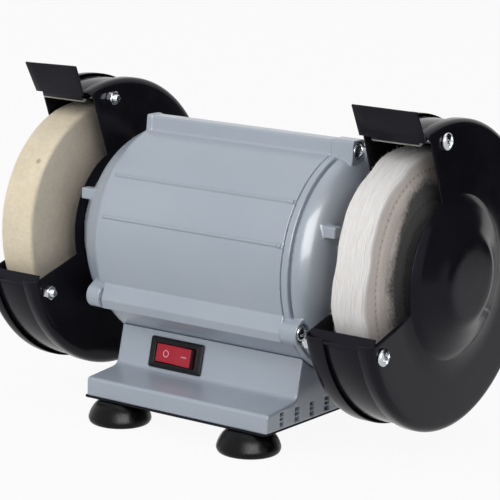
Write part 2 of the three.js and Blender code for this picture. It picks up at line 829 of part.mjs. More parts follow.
function upright(radius, from, to, x, y, sides) {
  return alongZ(circle(radius, [x, y], sides), from, to);
}

function saddleHole(x) {
  const low = -barrelRadius - overrun;
  return upright(saddleScrewRadius + fit, low, -barrelBoreRadius + overrun, x, 0, holeSides);
}

// One side of the pedestal's outline, from the skirt's foot up to the saddle
function pedestalSide(inset) {
  const radius = saddleRadius + inset;
  const top = wallTop - inset;
  const height = shaftHeight - saddleDrop(radius, top);
  return [
    [skirtFront - inset, skirtBottom],
    [skirtFront - inset, skirtTop - skirtEdge - inset],
    [skirtFront - inset - skirtEdge, skirtTop - inset],
    [shelfBack - inset / 2, skirtTop + shelfRise - inset],
    [wallFoot[0] + filletReach - inset, wallFoot[1] - filletReach - inset / 2],
    [wallFoot[0] - inset, wallFoot[1]],
    [top, height],
  ];
}

function pedestalOutline(inset) {
  const side = pedestalSide(inset);
  const radius = saddleRadius + inset;
  const edge = side[side.length - 1][0];
  const reach = Math.asin(edge / radius) / degree;
  const saddle = Array.from({ length: saddleSteps - 1 }, (_, i) => {
    const turn = (reach - (2 * reach * (i + 1)) / saddleSteps) * degree;
    return [radius * Math.sin(turn), shaftHeight - radius * Math.cos(turn)];
  });
  const front = side.map(([y, z]) => [-y, z]).reverse();
  return [...side, ...saddle, ...front];
}

function pedestal() {
  const shell = alongX(pedestalOutline(0), -halfBody, halfBody);
  const room = alongX(pedestalOutline(pedestalWall), -halfBody + pedestalWall, halfBody - pedestalWall);
  const mouth = block(
    [-halfBody + pedestalWall, -skirtFront + pedestalWall, skirtBottom - overrun],
    [halfBody - pedestalWall, skirtFront - pedestalWall, skirtBottom + overrun]);
  let body = cut(shell, room, mouth);
  for (const [x, y] of footPlaces()) {
    const inward = Math.sign(y) * (footY - studBoss / 2);
    const outward = y + Math.sign(y) * studBoss;
    const boss = block(
      [x - studBoss, Math.min(inward, outward) - studBoss / 2, skirtBottom + overrun / 2],
      [x + studBoss, Math.max(inward, outward) + studBoss / 2, skirtTop - pedestalWall / 2]);
    const top = skirtBottom + studReach;
    const studHole = upright(studRadius + fit, skirtBottom - overrun, top, x, y, holeSides);
    body = cut(join(body, boss.intersect(shell)), studHole);
  }
  const vents = [];
  for (let i = -ventPairs; i <= ventPairs; i += 1) {
    const y = i * ventPitch;
    vents.push(block(
      [-halfBody - overrun, y - ventWidth / 2, ventLow],
      [-halfBody + pedestalWall + overrun, y + ventWidth / 2, ventHigh]));
    vents.push(block(
      [halfBody - pedestalWall - overrun, y - ventWidth / 2, ventLow],
      [halfBody + overrun, y + ventWidth / 2, ventHigh]));
  }
  const saddleFoot = shaftHeight - saddleRadius;
  const screwHoles = saddleScrewPlaces.map((x) => upright(
    saddleScrewRadius + fit, saddleFoot - pedestalWall - overrun, saddleFoot + overrun, x, 0, holeSides));
  return cut(body, ...vents, ...screwHoles, switchOpening(), glandOpening());
}

function footPlaces() {
  return [[-footX, -footY], [footX, -footY], [-footX, footY], [footX, footY]];
}

function basePlate() {
  const reach = [halfBody + plateProud, skirtFront + plateProud];
  const outline = rounded([reach.map((value) => -value), reach], plateCorner, 2);
  const holes = footPlaces().map(([x, y]) =>
    upright(studRadius + fit, plateBottom - overrun, plateTop + overrun, x, y, holeSides));
  return cut(alongZ(outline, plateBottom, plateTop), ...holes);
}

// A rubber foot with a cupped sole and a threaded stud moulded into it
function foot(x, y) {
  const studTop = skirtBottom + studReach - fit;
  const profile = [
    [0, footSeat], ...footShares.map(([up, out]) => [footTop * up, footRadius * out]),
    [footTop, footNeck], [footTop, studRadius],
    [studTop, studRadius], [studTop, 0], [footCup, 0], [footCup, footSeat - footCup],
  ];
  const touch = profile.findIndex(([, radius]) => radius === 0);
  const turned = profile.slice(touch + 1).concat(profile.slice(0, touch + 1));
  return revolve(turned, footSides).rotate([0, -90, 0]).translate([x, y, 0]);
}

function saddleScrew(x) {
  const top = shaftHeight - saddleRadius - pedestalWall - fit;
  const end = shaftHeight - barrelRadius + saddleScrewGrip;
  const shank = upright(saddleScrewRadius, top - overrun / 2, end, x, 0, holeSides);
  const head = upright(saddleScrewHead, top - saddleScrewRise, top, x, 0, holeSides);
  return join(shank, head);
}

const bezelRise = 2.2;
const bezelCorner = 1;
const bezelLow = 0.1;
const bezelLips = [2.65, 2.8];
const switchX = -23.3;
const switchDepth = 13;
const windowWalls = [2.1, 0.8];
const rockerGap = 0.4;
const rockerPivot = -1.4;
const rockerTilt = 8;
const rockerValley = 2;
const rockerBelly = 5;
const windowDepth = 9;

const bezelSize = [bezelLength, bezelHeight];
const switchBody = bezelSize.map((value, i) => value - 2 * bezelLips[i]);
const windowSize = switchBody.map((value, i) => value - 2 * windowWalls[i]);
const rockerSize = windowSize.map((value) => value - 2 * rockerGap);
const switchCentre = [switchX, wallFoot[1] + bezelLow + bezelHeight / 2];
const wallAngle = Math.atan(wallLean / wallRise);

function wallOffset(z) {
  return wallFoot[0] - (z - wallFoot[1]) * Math.tan(wallAngle);
}

// Groups that lie on the leaning walls, with their own Z pointing out of the wall
const switchPlace = new THREE.Group();
switchPlace.position.set(switchCentre[0], -wallOffset(switchCentre[1]), switchCentre[1]);
switchPlace.rotation.x = Math.PI / 2 - wallAngle;

const glandX = 30;
const glandLift = 11;
const glandZ = wallFoot[1] + glandLift;
const glandRadius = 6;
const glandFlange = 8.5;
const glandRise = 3.5;
const glandBore = 4.3;
const glandPlace = new THREE.Group();
glandPlace.position.set(glandX, wallOffset(glandZ), glandZ);
glandPlace.rotation.set(-Math.PI / 2 + wallAngle, 0, 0);
stand.add(switchPlace, glandPlace);

function moved(solid, group) {
  group.updateMatrix();
  return solid.transform(group.matrix.elements);
}

function box2(size, radius, steps) {
  return rounded([size.map((value) => -value / 2), size.map((value) => value / 2)], radius, steps);
}

function switchOpening() {
  const size = switchBody.map((value) => value + 2 * fit);
  return moved(alongZ(box2(size, bezelCorner, 1), -switchDepth - 2 * fit, overrun), switchPlace);
}

function glandOpening() {
  return moved(alongZ(circle(glandRadius + fit, [0, 0], lugSides), -pedestalWall * 2, overrun), glandPlace);
}

function switchBezel() {
  const flange = alongZ(box2(bezelSize, bezelCorner, 2), fit, bezelRise);
  const housing = alongZ(box2(switchBody, bezelCorner, 1), -switchDepth, bezelRise / 2);
  const window = alongZ(box2(windowSize, bezelCorner / 2, 1), -windowDepth, bezelRise + overrun);
  return cut(join(flange, housing), window);
}

// The rocker's face is a shallow V; its ends are arcs about the pivot, so it clears the window
function rocker() {
  const radius = rockerSize[0] / 2;
  const topAngle = Math.asin((rockerValley + radius * Math.tan(rockerTilt * degree)) / radius) / degree;
  const lowAngle = -Math.asin(rockerBelly / radius) / degree;
  const right = arc([0, 0], radius, radius, lowAngle, topAngle, 3);
  const left = right.map(([x, z]) => [-x, z]).reverse();
  const outline = [...right, [0, rockerValley], ...left];
  const shape = new THREE.Shape(outline.map(([x, z]) => new THREE.Vector2(x, z)));
  const geometry = new THREE.ExtrudeGeometry(shape, { depth: rockerSize[1], bevelEnabled: false });
  geometry.rotateX(Math.PI / 2);
  geometry.translate(0, rockerSize[1] / 2, 0);
  return toSolid(geometry);
}

function cordGland() {
  const flange = alongZ(circle(glandFlange, [0, 0], lugSides), fit, glandRise);
  const barrel = alongZ(circle(glandRadius, [0, 0], lugSides), -pedestalWall - overrun, glandRise);
  const bore = alongZ(circle(glandBore, [0, 0], lugSides), -pedestalWall * 2, glandRise + overrun);
  return cut(join(flange, barrel), bore);
}

const capacitorSize = [46, 30];
const capacitorX = 30;
const capacitorCorner = 3;
const capacitorGap = 0.8;

// The capacitor lies on the base plate and clears the saddle screws' heads
function capacitor() {
  const outline = box2(capacitorSize, capacitorCorner, 2).map(([x, y]) => [x + capacitorX, y]);
  const ceiling = shaftHeight - saddleRadius - pedestalWall - fit - saddleScrewRise;
  return alongZ(outline, plateTop + fit, ceiling - capacitorGap);
}

// The machine, from the bench up

add(stand, 'pedestal', pedestal(), paint);
add(stand, 'base_plate', basePlate(), blackPaint);
const footNames = ['foot_front_left', 'foot_front_right', 'foot_rear_left', 'foot_rear_right'];
footPlaces().forEach(([x, y], i) => add(stand, footNames[i], foot(x, y), rubber));
saddleScrewPlaces.forEach((x, i) => add(stand, `saddle_screw_${['left', 'right'][i]}`, saddleScrew(x), zinc));
add(stand, 'capacitor', capacitor(), whitePlastic);
add(switchPlace, 'switch_bezel', switchBezel(), blackPlastic);
const rockerMesh = add(switchPlace, 'switch_rocker', rocker(), redPlastic);
rockerMesh.position.z = rockerPivot + bezelRise;
rockerMesh.rotation.y = -rockerTilt * degree;
add(glandPlace, 'cord_gland', cordGland(), blackPlastic);

add(shaftLine, 'motor_housing', motorHousing(), paint);
add(shaftLine, 'end_bell', endBell(), paint);
for (const where of Object.keys(tiePlace)) add(shaftLine, `tie_bolt_${where}`, tieBolt(where), zinc);
add(shaftLine, 'stator_core', statorCore(), laminations);
add(shaftLine, 'rotor', rotor(), laminations);
add(shaftLine, 'shaft', shaft(), steel);

for (const [hand, side] of Object.entries(sideOf)) {
  add(shaftLine, `bearing_${hand}`, bearing(side), steel);
  add(shaftLine, `winding_${hand}`, winding(side), copper);
  add(shaftLine, `guard_pan_${hand}`, innerPan(hand), blackPaint);
  add(shaftLine, `guard_cover_${hand}`, outerCover(side), blackPaint);
  add(shaftLine, `guard_rim_${hand}`, rim(hand), blackPaint);
  add(shaftLine, `guard_flap_${hand}`, flap(side), blackPaint);
  for (const [where, angle] of Object.entries(guardBoltAngles)) {
    add(shaftLine, `guard_bolt_${hand}_${where}`, guardBolt(hand, angle), zinc);
    const nutEnd = guardFace[hand] - fit;
    const place = polar(guardBoltCircle, angle);
    const nut = hexNut(guardNutAcross, guardHole, nutEnd - guardNutHeight, nutEnd, place, holeSides);
    add(shaftLine, `guard_nut_${hand}_${where}`, onSide(nut, side), zinc);
  }
  for (const [where, angle] of Object.entries(guardScrewAngles)) {
    add(shaftLine, `guard_screw_${hand}_${where}`, guardScrew(hand, angle), zinc);
  }
}

add(shaftLine, 'felt_wheel', feltWheel(), felt);
add(shaftLine, 'cloth_wheel', clothWheel(), cloth);
add(shaftLine, 'flange_left_inner', wheelFlangeSolid(flangeStart, deepDepth, 1, -1), steel);
add(shaftLine, 'flange_left_outer', wheelFlangeSolid(feltOuter, shallowDepth, -1, -1), steel);
add(shaftLine, 'flange_right_inner', wheelFlangeSolid(flangeStart, shallowDepth, 1, 1), steel);
add(shaftLine, 'flange_right_outer', wheelFlangeSolid(clothOuter, deepDepth, -1, 1), steel);
const nutFrom = (from) => hexNut(nutAcross, arborHole, from, from + nutHeight, [0, 0], driveSides);
add(shaftLine, 'arbor_nut_left', mirrored(nutFrom(leftNut)), zinc);
add(shaftLine, 'arbor_nut_right', nutFrom(rightNut), zinc);

// The feet reach furthest forward and the guards furthest back, so the machine is set
// forward or back until the origin is midway between the two
machine.position.y = (footY + footRadius - guardRadius) / 2;

export default machine;
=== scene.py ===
"""Looks of the bench polishing machine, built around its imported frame.

Pieces are modelled in millimetres about the shaft line, or from the bench up for the stand, and
are put in the frame in metres. X runs along the shaft, -Y is the operator's side, +Z is up.
"""

import math

import bmesh
import bpy
import numpy as np
import openvdb
from mathutils import Matrix, Vector


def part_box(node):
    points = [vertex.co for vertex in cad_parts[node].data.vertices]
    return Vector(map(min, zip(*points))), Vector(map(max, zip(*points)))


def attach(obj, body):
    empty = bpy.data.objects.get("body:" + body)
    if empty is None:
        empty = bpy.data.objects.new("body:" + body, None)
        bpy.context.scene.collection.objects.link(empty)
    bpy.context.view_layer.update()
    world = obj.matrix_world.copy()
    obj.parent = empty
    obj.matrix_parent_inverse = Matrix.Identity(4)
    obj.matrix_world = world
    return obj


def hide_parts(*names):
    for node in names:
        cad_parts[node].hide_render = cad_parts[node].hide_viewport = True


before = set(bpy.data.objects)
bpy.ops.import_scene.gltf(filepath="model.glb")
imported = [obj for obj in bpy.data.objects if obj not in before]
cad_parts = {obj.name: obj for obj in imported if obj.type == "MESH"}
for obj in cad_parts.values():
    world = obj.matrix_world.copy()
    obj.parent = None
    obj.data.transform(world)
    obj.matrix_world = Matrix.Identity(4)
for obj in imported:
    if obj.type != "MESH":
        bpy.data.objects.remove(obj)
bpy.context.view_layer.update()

MM = 0.001


def extent(node, axis):
    """The lowest and highest place of a node along an axis, in millimetres."""
    low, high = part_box(node)
    return low[axis] / MM, high[axis] / MM


# Sizes in millimetres, read from the frame where a node's box gives them
SETBACK = sum(extent("shaft", 1)) / 2
SHAFT = sum(extent("shaft", 2)) / 2
HALF_BODY = extent("pedestal", 0)[1]
SHAFT_END = extent("shaft", 0)[1]
GUARD = extent("guard_cover_right", 2)[1] - SHAFT
GUARD_FACE = {"left": -extent("guard_pan_left", 0)[1], "right": extent("guard_pan_right", 0)[0]}
SKIRT_FOOT, SKIRT_FRONT = extent("pedestal", 2)[0], extent("pedestal", 1)[1] - SETBACK
FELT = (-extent("felt_wheel", 0)[1], -extent("felt_wheel", 0)[0])
CLOTH = (107.3, 130.1)
WHEEL = 75
SIDES = {"left": -1, "right": 1}
SHAFT_LINE = np.array([0, SETBACK, SHAFT])
BENCH = np.array([0, SETBACK, 0])

# The camera, found by fitting these sizes to the edges of the machine in the photograph
YAW, PITCH, ROLL = (math.radians(a) for a in (35.438, 11.838, 1.391))
TARGET = Vector((-2.852, SETBACK, 104.040)) * MM
DISTANCE = 1433.9 * MM
FOCAL_PIXELS = 2304.9
FRAME_PIXELS = 500
SENSOR = 36


def make_camera():
    back = Vector((math.sin(YAW) * math.cos(PITCH), -math.cos(YAW) * math.cos(PITCH), math.sin(PITCH)))
    right = (-back).cross(Vector((0, 0, 1))).normalized()
    up = right.cross(-back)
    across = right * math.cos(ROLL) + up * math.sin(ROLL)
    above = up * math.cos(ROLL) - right * math.sin(ROLL)
    data = bpy.data.cameras.new("camera")
    data.sensor_width = SENSOR
    data.lens = FOCAL_PIXELS / FRAME_PIXELS * SENSOR
    data.clip_start, data.clip_end = 0.05, 30
    camera = bpy.data.objects.new("camera", data)
    turn = Matrix((across, above, back)).transposed().to_4x4()
    camera.matrix_world = Matrix.Translation(TARGET + back * DISTANCE) @ turn
    bpy.context.scene.collection.objects.link(camera)
    bpy.context.scene.camera = camera


make_camera()


def polar(radius, angle):
    """[y, z] at a radius and an angle from the top towards the front."""
    return -radius * math.sin(math.radians(angle)), radius * math.cos(math.radians(angle))


# Materials

def srgb(r, g, b):
    """A colour as it is seen, 0 to 255, for a shader."""
    seen = [c / 255 for c in (r, g, b)]
    return tuple(c / 12.92 if c < 0.045 else ((c + 0.055) / 1.055) ** 2.4 for c in seen) + (1,)


class Nodes:
    """A node tree, and short calls that add nodes to it."""

    def __init__(self, owner):
        owner.use_nodes = True
        self.tree = owner.node_tree
        self.tree.nodes.clear()

    def node(self, kind, settings=None, **inputs):
        made = self.tree.nodes.new(kind)
        for key, value in (settings or {}).items():
            setattr(made, key, value)
        for key, value in inputs.items():
            self.plug(made.inputs[key.replace("_", " ")], value)
        return made

    def plug(self, socket, value):
        if isinstance(value, bpy.types.NodeSocket):
            self.tree.links.new(value, socket)
        else:
            socket.default_value = value

    def math(self, operation, a, b=0.0, c=0.0):
        made = self.node("ShaderNodeMath", {"operation": operation})
        for socket, value in zip(made.inputs, (a, b, c)):
            self.plug(socket, value)
        return made.outputs[0]

    def times(self, a, b):
        return self.math("MULTIPLY", a, b)

    def plus(self, a, b):
        return self.math("ADD", a, b)

    def minus(self, a, b):
        return self.math("SUBTRACT", a, b)

    def seen_rays(self):
        """1 for the rays that show the room as it looks: camera, glossy and transmission rays."""
        path = self.node("ShaderNodeLightPath")
        seen = path.outputs["Is Camera Ray"]
        for ray in ("Is Glossy Ray", "Is Transmission Ray"):
            seen = self.math("MAXIMUM", seen, path.outputs[ray])
        return seen

    def show(self, share, rest, shown, out):
        """Sends one shader out for that share of the rays, and the other for the rest."""
        mixed = self.node("ShaderNodeMixShader")
        for socket, value in zip(mixed.inputs, (share, rest.outputs[0], shown.outputs[0])):
            self.plug(socket, value)
        self.plug(out.inputs[0], mixed.outputs[0])


class Look(Nodes):
    """A procedural material: a Principled shader and the nodes that feed it."""

    def __init__(self, name, **sockets):
        self.material = bpy.data.materials.new(name)
        super().__init__(self.material)
        self.out = self.node("ShaderNodeOutputMaterial")
        self.shader = self.node("ShaderNodeBsdfPrincipled", **sockets)
        self.plug(self.out.inputs[0], self.shader.outputs[0])
        self.where = self.node("ShaderNodeTexCoord").outputs["Object"]

    def noise(self, size, detail=4, roughness=0.5, where=None):
        """Noise whose grains are about that many millimetres across."""
        return self.node("ShaderNodeTexNoise", Vector=where or self.where, Scale=1 / (size * MM),
                         Detail=detail, Roughness=roughness).outputs[0]

    def span(self, value, low=0.3, high=0.7, to_low=0.0, to_high=1.0):
        """The value taken from one range to another and held inside it."""
        made = self.node("ShaderNodeMapRange", Value=value)
        for key, number in zip(("From Min", "From Max", "To Min", "To Max"), (low, high, to_low, to_high)):
            made.inputs[key].default_value = number
        return made.outputs[0]

    def mix(self, share, a, b):
        made = self.node("ShaderNodeMix", {"data_type": "RGBA"})
        self.plug(made.inputs[0], share)
        self.plug(made.inputs[6], a)
        self.plug(made.inputs[7], b)
        return made.outputs[2]

    def colour(self, value):
        self.plug(self.shader.inputs["Base Color"], value)

    def bump(self, height, depth):
        """Bumps that stand about that many millimetres high, on top of any before them."""
        made = self.node("ShaderNodeBump", Height=height, Distance=depth * MM, Strength=1.0)
        if self.shader.inputs["Normal"].links:
            self.plug(made.inputs["Normal"], self.shader.inputs["Normal"].links[0].from_socket)
        self.plug(self.shader.inputs["Normal"], made.outputs[0])

    def finish(self, rough, *bumps):
        """Gives the material its roughness in patches, and bumps of noise.

        rough is the patches' size and detail and the smoothest and dullest roughness, and each
        bump is a size, a detail and a depth."""
        size, detail, smooth, dull = rough
        patches = self.span(self.noise(size, detail), to_low=smooth, to_high=dull)
        self.plug(self.shader.inputs["Roughness"], patches)
        for size, detail, depth in bumps:
            self.bump(self.noise(size, detail), depth)
        return self.material

    def axes(self):
        """X, and Y and Z from the shaft line, all in millimetres."""
        split = self.node("ShaderNodeSeparateXYZ", Vector=self.where)
        x, y, z = (self.times(axis, 1 / MM) for axis in split.outputs)
        return x, self.minus(y, SETBACK), self.minus(z, SHAFT)

    def round_axes(self):
        """X, the radius and the angle about the shaft line, in millimetres and radians."""
        x, y, z = self.axes()
        square = self.plus(self.times(y, y), self.times(z, z))
        return x, self.math("SQRT", square), self.math("ARCTAN2", self.times(y, -1.0), z)

    def combine(self, x, y, z):
        return self.node("ShaderNodeCombineXYZ", X=x, Y=y, Z=z).outputs[0]


# Where broad patches of noise go from one colour to the other
DRIFT = (0.35, 0.65)


def enamel():
    look = Look("enamel_grey_blue", Roughness=0.42, Coat_Weight=0.5, Coat_Roughness=0.12)
    look.colour(look.mix(look.span(look.noise(70, 2), *DRIFT), srgb(155, 164, 175), srgb(160, 168, 179)))
    return look.finish((9, 3, 0.38, 0.46), (2.4, 2, 0.01), (0.6, 2, 0.002))


# The painted highlight along the flap's fold: its angle and half its width in degrees, and how far out it
# reaches
FLAP_HIGHLIGHT_TURN, FLAP_HIGHLIGHT_RADIUS = (24.0, 1.6), 90.4


def black_enamel(name, painted_highlight=False):
    """Gloss black paint; on the flap, a pale streak along the fold is a painted highlight."""
    look = Look(name, Roughness=0.14, Specular_IOR_Level=0.12, Specular_Tint=(0.86, 0.84, 1, 1))
    colour = look.mix(look.span(look.noise(40, 2), *DRIFT), srgb(21, 20, 25), srgb(26, 25, 31))
    if painted_highlight:
        # Painted highlight: a pale band in patches along the flap's fold, where the bend catches the light
        _, radius, turn = look.round_axes()
        fold = look.math("COMPARE", turn, *(math.radians(a) for a in FLAP_HIGHLIGHT_TURN))
        near = look.math("LESS_THAN", radius, FLAP_HIGHLIGHT_RADIUS)
        worn = look.span(look.noise(5, 4), to_low=0.55, to_high=0.95)
        colour = look.mix(look.times(look.times(fold, near), worn), colour, srgb(172, 170, 160))
    look.colour(colour)
    return look.finish((12, 3, 0.14, 0.22), (6, 2, 0.006), (0.9, 2, 0.002))


def plated(name, colour, rough, size):
    look = Look(name, Metallic=1.0, Roughness=rough)
    worn = tuple(0.84 * c for c in colour[:3]) + (1,)
    look.colour(look.mix(look.span(look.noise(size, 4)), colour, worn))
    return look.finish((size / 3, 4, rough * 0.75, rough * 1.35), (0.5, 3, 0.006))


def turned_steel():
    """Steel with the fine rings that a lathe leaves."""
    look = Look("turned_steel", Metallic=1.0, Roughness=0.32)
    x, radius, _ = look.round_axes()
    along = look.plus(radius, look.times(x, 0.7))
    rings = look.noise(0.35, 2, 0.5, look.combine(look.times(along, MM), 0.0, 0.0))
    look.colour(look.mix(look.span(rings), srgb(168, 171, 175), srgb(198, 200, 203)))
    look.bump(rings, 0.01)
    return look.finish((3, 4, 0.24, 0.42))


def rubber():
    look = Look("moulded_rubber", Roughness=0.25, Specular_IOR_Level=0.15)
    look.colour(look.mix(look.noise(12, 3), srgb(6, 6, 7), srgb(11, 11, 13)))
    return look.finish((5, 4, 0.16, 0.42), (4, 3, 0.12), (0.6, 3, 0.01))


def plastic(name, dark, light, rough, gloss=0.5):
    look = Look(name, Roughness=rough, Specular_IOR_Level=gloss)
    look.colour(look.mix(look.noise(9, 3), dark, light))
    return look.finish((2, 3, rough * 0.85, rough * 1.2), (0.45, 2, 0.006))


def red_plastic():
    """Translucent red; the rocker's sides are painted darker than its face, as painted shade."""
    look = Look("red_plastic", Roughness=0.32, Specular_IOR_Level=0.25)
    normal = look.node("ShaderNodeNewGeometry").outputs["Normal"]
    shaded_side = look.math("ABSOLUTE", look.node("ShaderNodeSeparateXYZ", Vector=normal).outputs[0])
    face = look.mix(look.noise(9, 3), srgb(160, 24, 42), srgb(172, 32, 50))
    # Painted shade: faces turned along the wall are mixed towards a dark red
    look.colour(look.mix(look.span(shaded_side, 0.5, 0.85), face, srgb(52, 12, 18)))
    return look.finish((2, 3, 0.27, 0.38), (0.45, 2, 0.004))


# The radii between which a wheel's face turns into its tread, and the stain's x and angle
FELT_TREAD, CLOTH_TREAD = (72.2, 73.6), (71.0, 73.5)
STAIN_PLACE = (-124.2, 53.6)


def wool_felt():
    """Pressed wool: cream on the tread, greyer on the faces, partly its own tone and partly painted shade,
    with a painted highlight along the edges and a small stain.
    """
    look = Look("wool_felt", Roughness=0.95, Sheen_Weight=0.25, Sheen_Roughness=0.5)
    x, radius, _ = look.round_axes()
    fibre, clump = look.noise(0.9, 6, 0.75), look.noise(2.6, 5, 0.65)
    patch = look.span(look.noise(16, 4, 0.6))
    tread_tone = look.mix(patch, srgb(226, 212, 184), srgb(238, 224, 197))
    # The faces' greyer, darker tone is partly the felt's own and partly painted shade from the guard
    face = look.mix(patch, srgb(218, 204, 184), srgb(230, 216, 196))
    base = look.mix(look.span(radius, *FELT_TREAD), face, tread_tone)
    base = look.mix(look.span(clump, 0.35, 0.7, 0.0, 0.22), base, srgb(176, 160, 132))
    base = look.mix(look.span(fibre, 0.5, 0.8, 0.0, 0.35), base, srgb(244, 236, 220))
    # Painted highlight: a lighter line where the faces round into the tread
    edge = look.math("COMPARE", radius, 73.4, 0.8)
    base = look.mix(look.times(edge, 0.35), base, srgb(238, 228, 205))
    _, y, z = look.axes()
    away = 0.0
    for axis, place in zip((x, y, z), (STAIN_PLACE[0], *polar(WHEEL, STAIN_PLACE[1]))):
        away = look.plus(away, look.math("POWER", look.minus(axis, place), 2.0))
    stain = look.span(look.plus(away, look.times(fibre, 4.0)), 2.5, 7.5, 0.55, 0.0)
    look.colour(look.mix(stain, base, srgb(112, 96, 68)))
    look.bump(fibre, 0.3)
    look.bump(clump, 0.5)
    return look.material


# The cloth's rings of stitches as radius and number, with 0 for a pressed ring without thread,
# how far they sway, its weave's pitch, and the painted shade on its face: the radii over which it fades,
# how far its lobe reaches and where the lobe points
STITCH_RINGS = ((63.5, 96), (54.0, 0), (44.5, 72), (34.0, 54))
STITCH_SWAY, STITCH_WAVES = 1.4, 3
WEAVE = 0.9
FACE_SHADE_RADII, FACE_SHADE_LOBE, FACE_SHADE_ANGLE = (42.0, 50.0), 16.0, 20


def cotton():
    """Stitched cotton: bright worn tread, woven faces, dark stitches, and painted shade over the middle of
    the face.
    """
    look = Look("stitched_cotton", Roughness=0.95, Sheen_Weight=0.2, Sheen_Roughness=0.5)
    x, radius, turn = look.round_axes()
    ring = look.combine(look.times(x, MM), look.times(radius, MM), look.times(turn, 4 * MM))
    ply, fibre = look.noise(0.7, 4, 0.7, ring), look.noise(0.8, 6, 0.75)
    tread_tone = look.mix(look.span(ply), srgb(230, 226, 223), srgb(247, 245, 243))
    face = look.mix(look.span(look.noise(18, 4, 0.6)), srgb(222, 208, 199), srgb(234, 222, 214))
    face = look.mix(look.span(fibre, 0.3, 0.75, 0.0, 0.4), face, srgb(168, 158, 148))
    base = look.mix(look.span(radius, *CLOTH_TREAD), face, tread_tone)
    sway = look.times(look.math("SINE", look.times(turn, float(STITCH_WAVES))), STITCH_SWAY)
    inner = look.minus(radius, sway)
    for place, count in STITCH_RINGS:
        if count:
            near = look.span(look.math("ABSOLUTE", look.minus(inner, place)), 0.25, 0.9, 1.0, 0.0)
            beat = look.span(look.math("COSINE", look.times(turn, float(count))), 0.1, 0.8)
            base = look.mix(look.times(look.times(near, beat), 0.6), base, srgb(104, 92, 85))
    # Painted shade: the face darkens towards its middle, most of all towards the top, where the guard's
    # cover shades it
    streak = look.times(look.minus(look.noise(1.6, 5, 0.7), 0.5), 16.0)
    cloud = look.times(look.minus(look.noise(30, 2), 0.5), 26.0)
    lean = look.math("COSINE", look.minus(turn, math.radians(FACE_SHADE_ANGLE)))
    shade_lobe = look.times(look.math("POWER", look.math("MAXIMUM", lean, 0.0), 9.0), FACE_SHADE_LOBE)
    reach = look.minus(look.plus(look.plus(radius, streak), cloud), shade_lobe)
    look.colour(look.mix(look.span(reach, *FACE_SHADE_RADII, 0.96, 0.0), base, srgb(20, 18, 17)))
    _, y, z = look.axes()
    warp, weft = (look.math("SINE", look.times(axis, 2 * math.pi / WEAVE)) for axis in (y, z))
    look.bump(look.times(warp, weft), 0.05)
    look.bump(fibre, 0.25)
    return look.material


LOOKS = {
    "body_paint": enamel(),
    "guard_paint": black_enamel("enamel_black"),
    "zinc": plated("bright_zinc", srgb(196, 199, 203), 0.2, 6),
    "steel": turned_steel(),
    "laminations": plated("laminations", srgb(120, 123, 128), 0.5, 3),
    "copper": plated("varnished_copper", srgb(184, 112, 66), 0.4, 2),
    "foot_rubber": rubber(),
    "felt": wool_felt(),
    "cloth": cotton(),
    "black_plastic": plastic("black_plastic", srgb(16, 17, 20), srgb(22, 23, 26), 0.4, 0.2),
    "red_plastic": red_plastic(),
    "white_plastic": plastic("white_plastic", srgb(226, 226, 222), srgb(234, 234, 230), 0.5),
}

# The flap's black paint, with a painted highlight along its fold
FLAP_LOOK = black_enamel("enamel_black_rubbed", True)


# Placing pieces

def piece(name, points, faces, slot, body, nodes, origin=SHAFT_LINE, normals=None, crease=35, look=None):
    """A finished piece from points in millimetres, riding on its body in place of its CAD nodes."""
    mesh = bpy.data.meshes.new(name)
    mesh.from_pydata(((np.asarray(points, float) + origin) * MM).tolist(), [], [list(f) for f in faces])
    mesh.validate()
    mesh.shade_smooth()
    mesh.materials.append(look or LOOKS[slot])
    if normals is not None:
        mesh.normals_split_custom_set_from_vertices(np.asarray(normals, float).tolist())
    elif crease:
        mesh.set_sharp_from_angle(angle=math.radians(crease))
    made = bpy.data.objects.new(name, mesh)
    bpy.context.scene.collection.objects.link(made)
    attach(made, body)
    if nodes:
        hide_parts(*nodes)
    return made


def solid(name, points, faces, slot, body, nodes, origin=BENCH, crease=35, look=None):
    """A piece whose coinciding points are joined and whose faces all look outwards."""
    made = piece(name, points, faces, slot, body, nodes, origin, None, crease, look)
    work = bmesh.new()
    work.from_mesh(made.data)
    bmesh.ops.remove_doubles(work, verts=work.verts, dist=1e-6)
    bmesh.ops.dissolve_degenerate(work, edges=work.edges, dist=1e-7)
    bmesh.ops.recalc_face_normals(work, faces=work.faces)
    work.to_mesh(made.data)
    work.free()
    made.data.shade_smooth()
    if crease:
        made.data.set_sharp_from_angle(angle=math.radians(crease))
    return made


def settle(made):
    """Applies a piece's modifiers."""
    graph = bpy.context.evaluated_depsgraph_get()
    mesh = bpy.data.meshes.new_from_object(made.evaluated_get(graph))
    made.modifiers.clear()
    made.data = mesh


# Outlines

def walls(count, start=0):
    """Faces between a closed ring of points and the ring after it."""
    return [(start + k, start + (k + 1) % count, start + count + (k + 1) % count, start + count + k)
            for k in range(count)]


def loft(rings, ends=False):
    """Points and faces of a solid that passes through closed rings of as many points each."""
    count = len(rings[0])
    points = [tuple(p) for ring in rings for p in ring]
    faces = [face for i in range(len(rings) - 1) for face in walls(count, i * count)]
    if ends:
        faces += [tuple(range(count)), tuple(range(len(points) - count, len(points)))]
    return points, faces


def together(parts):
    """The points and faces of several solids as one."""
    points, faces = [], []
    for more, sides in parts:
        faces += [tuple(len(points) + k for k in face) for face in sides]
        points += more
    return points, faces


def corners(low, high):
    return [low, (high[0], low[1]), high, (low[0], high[1])]


def about(place, *offsets):
    return [(place[0] + a, place[1] + b) for a, b in offsets]


def arc(centre, radius, start, end, steps):
    turns = [math.radians(a) for a in np.linspace(start, end, steps + 1)]
    return about(centre, *((radius * math.cos(t), radius * math.sin(t)) for t in turns))


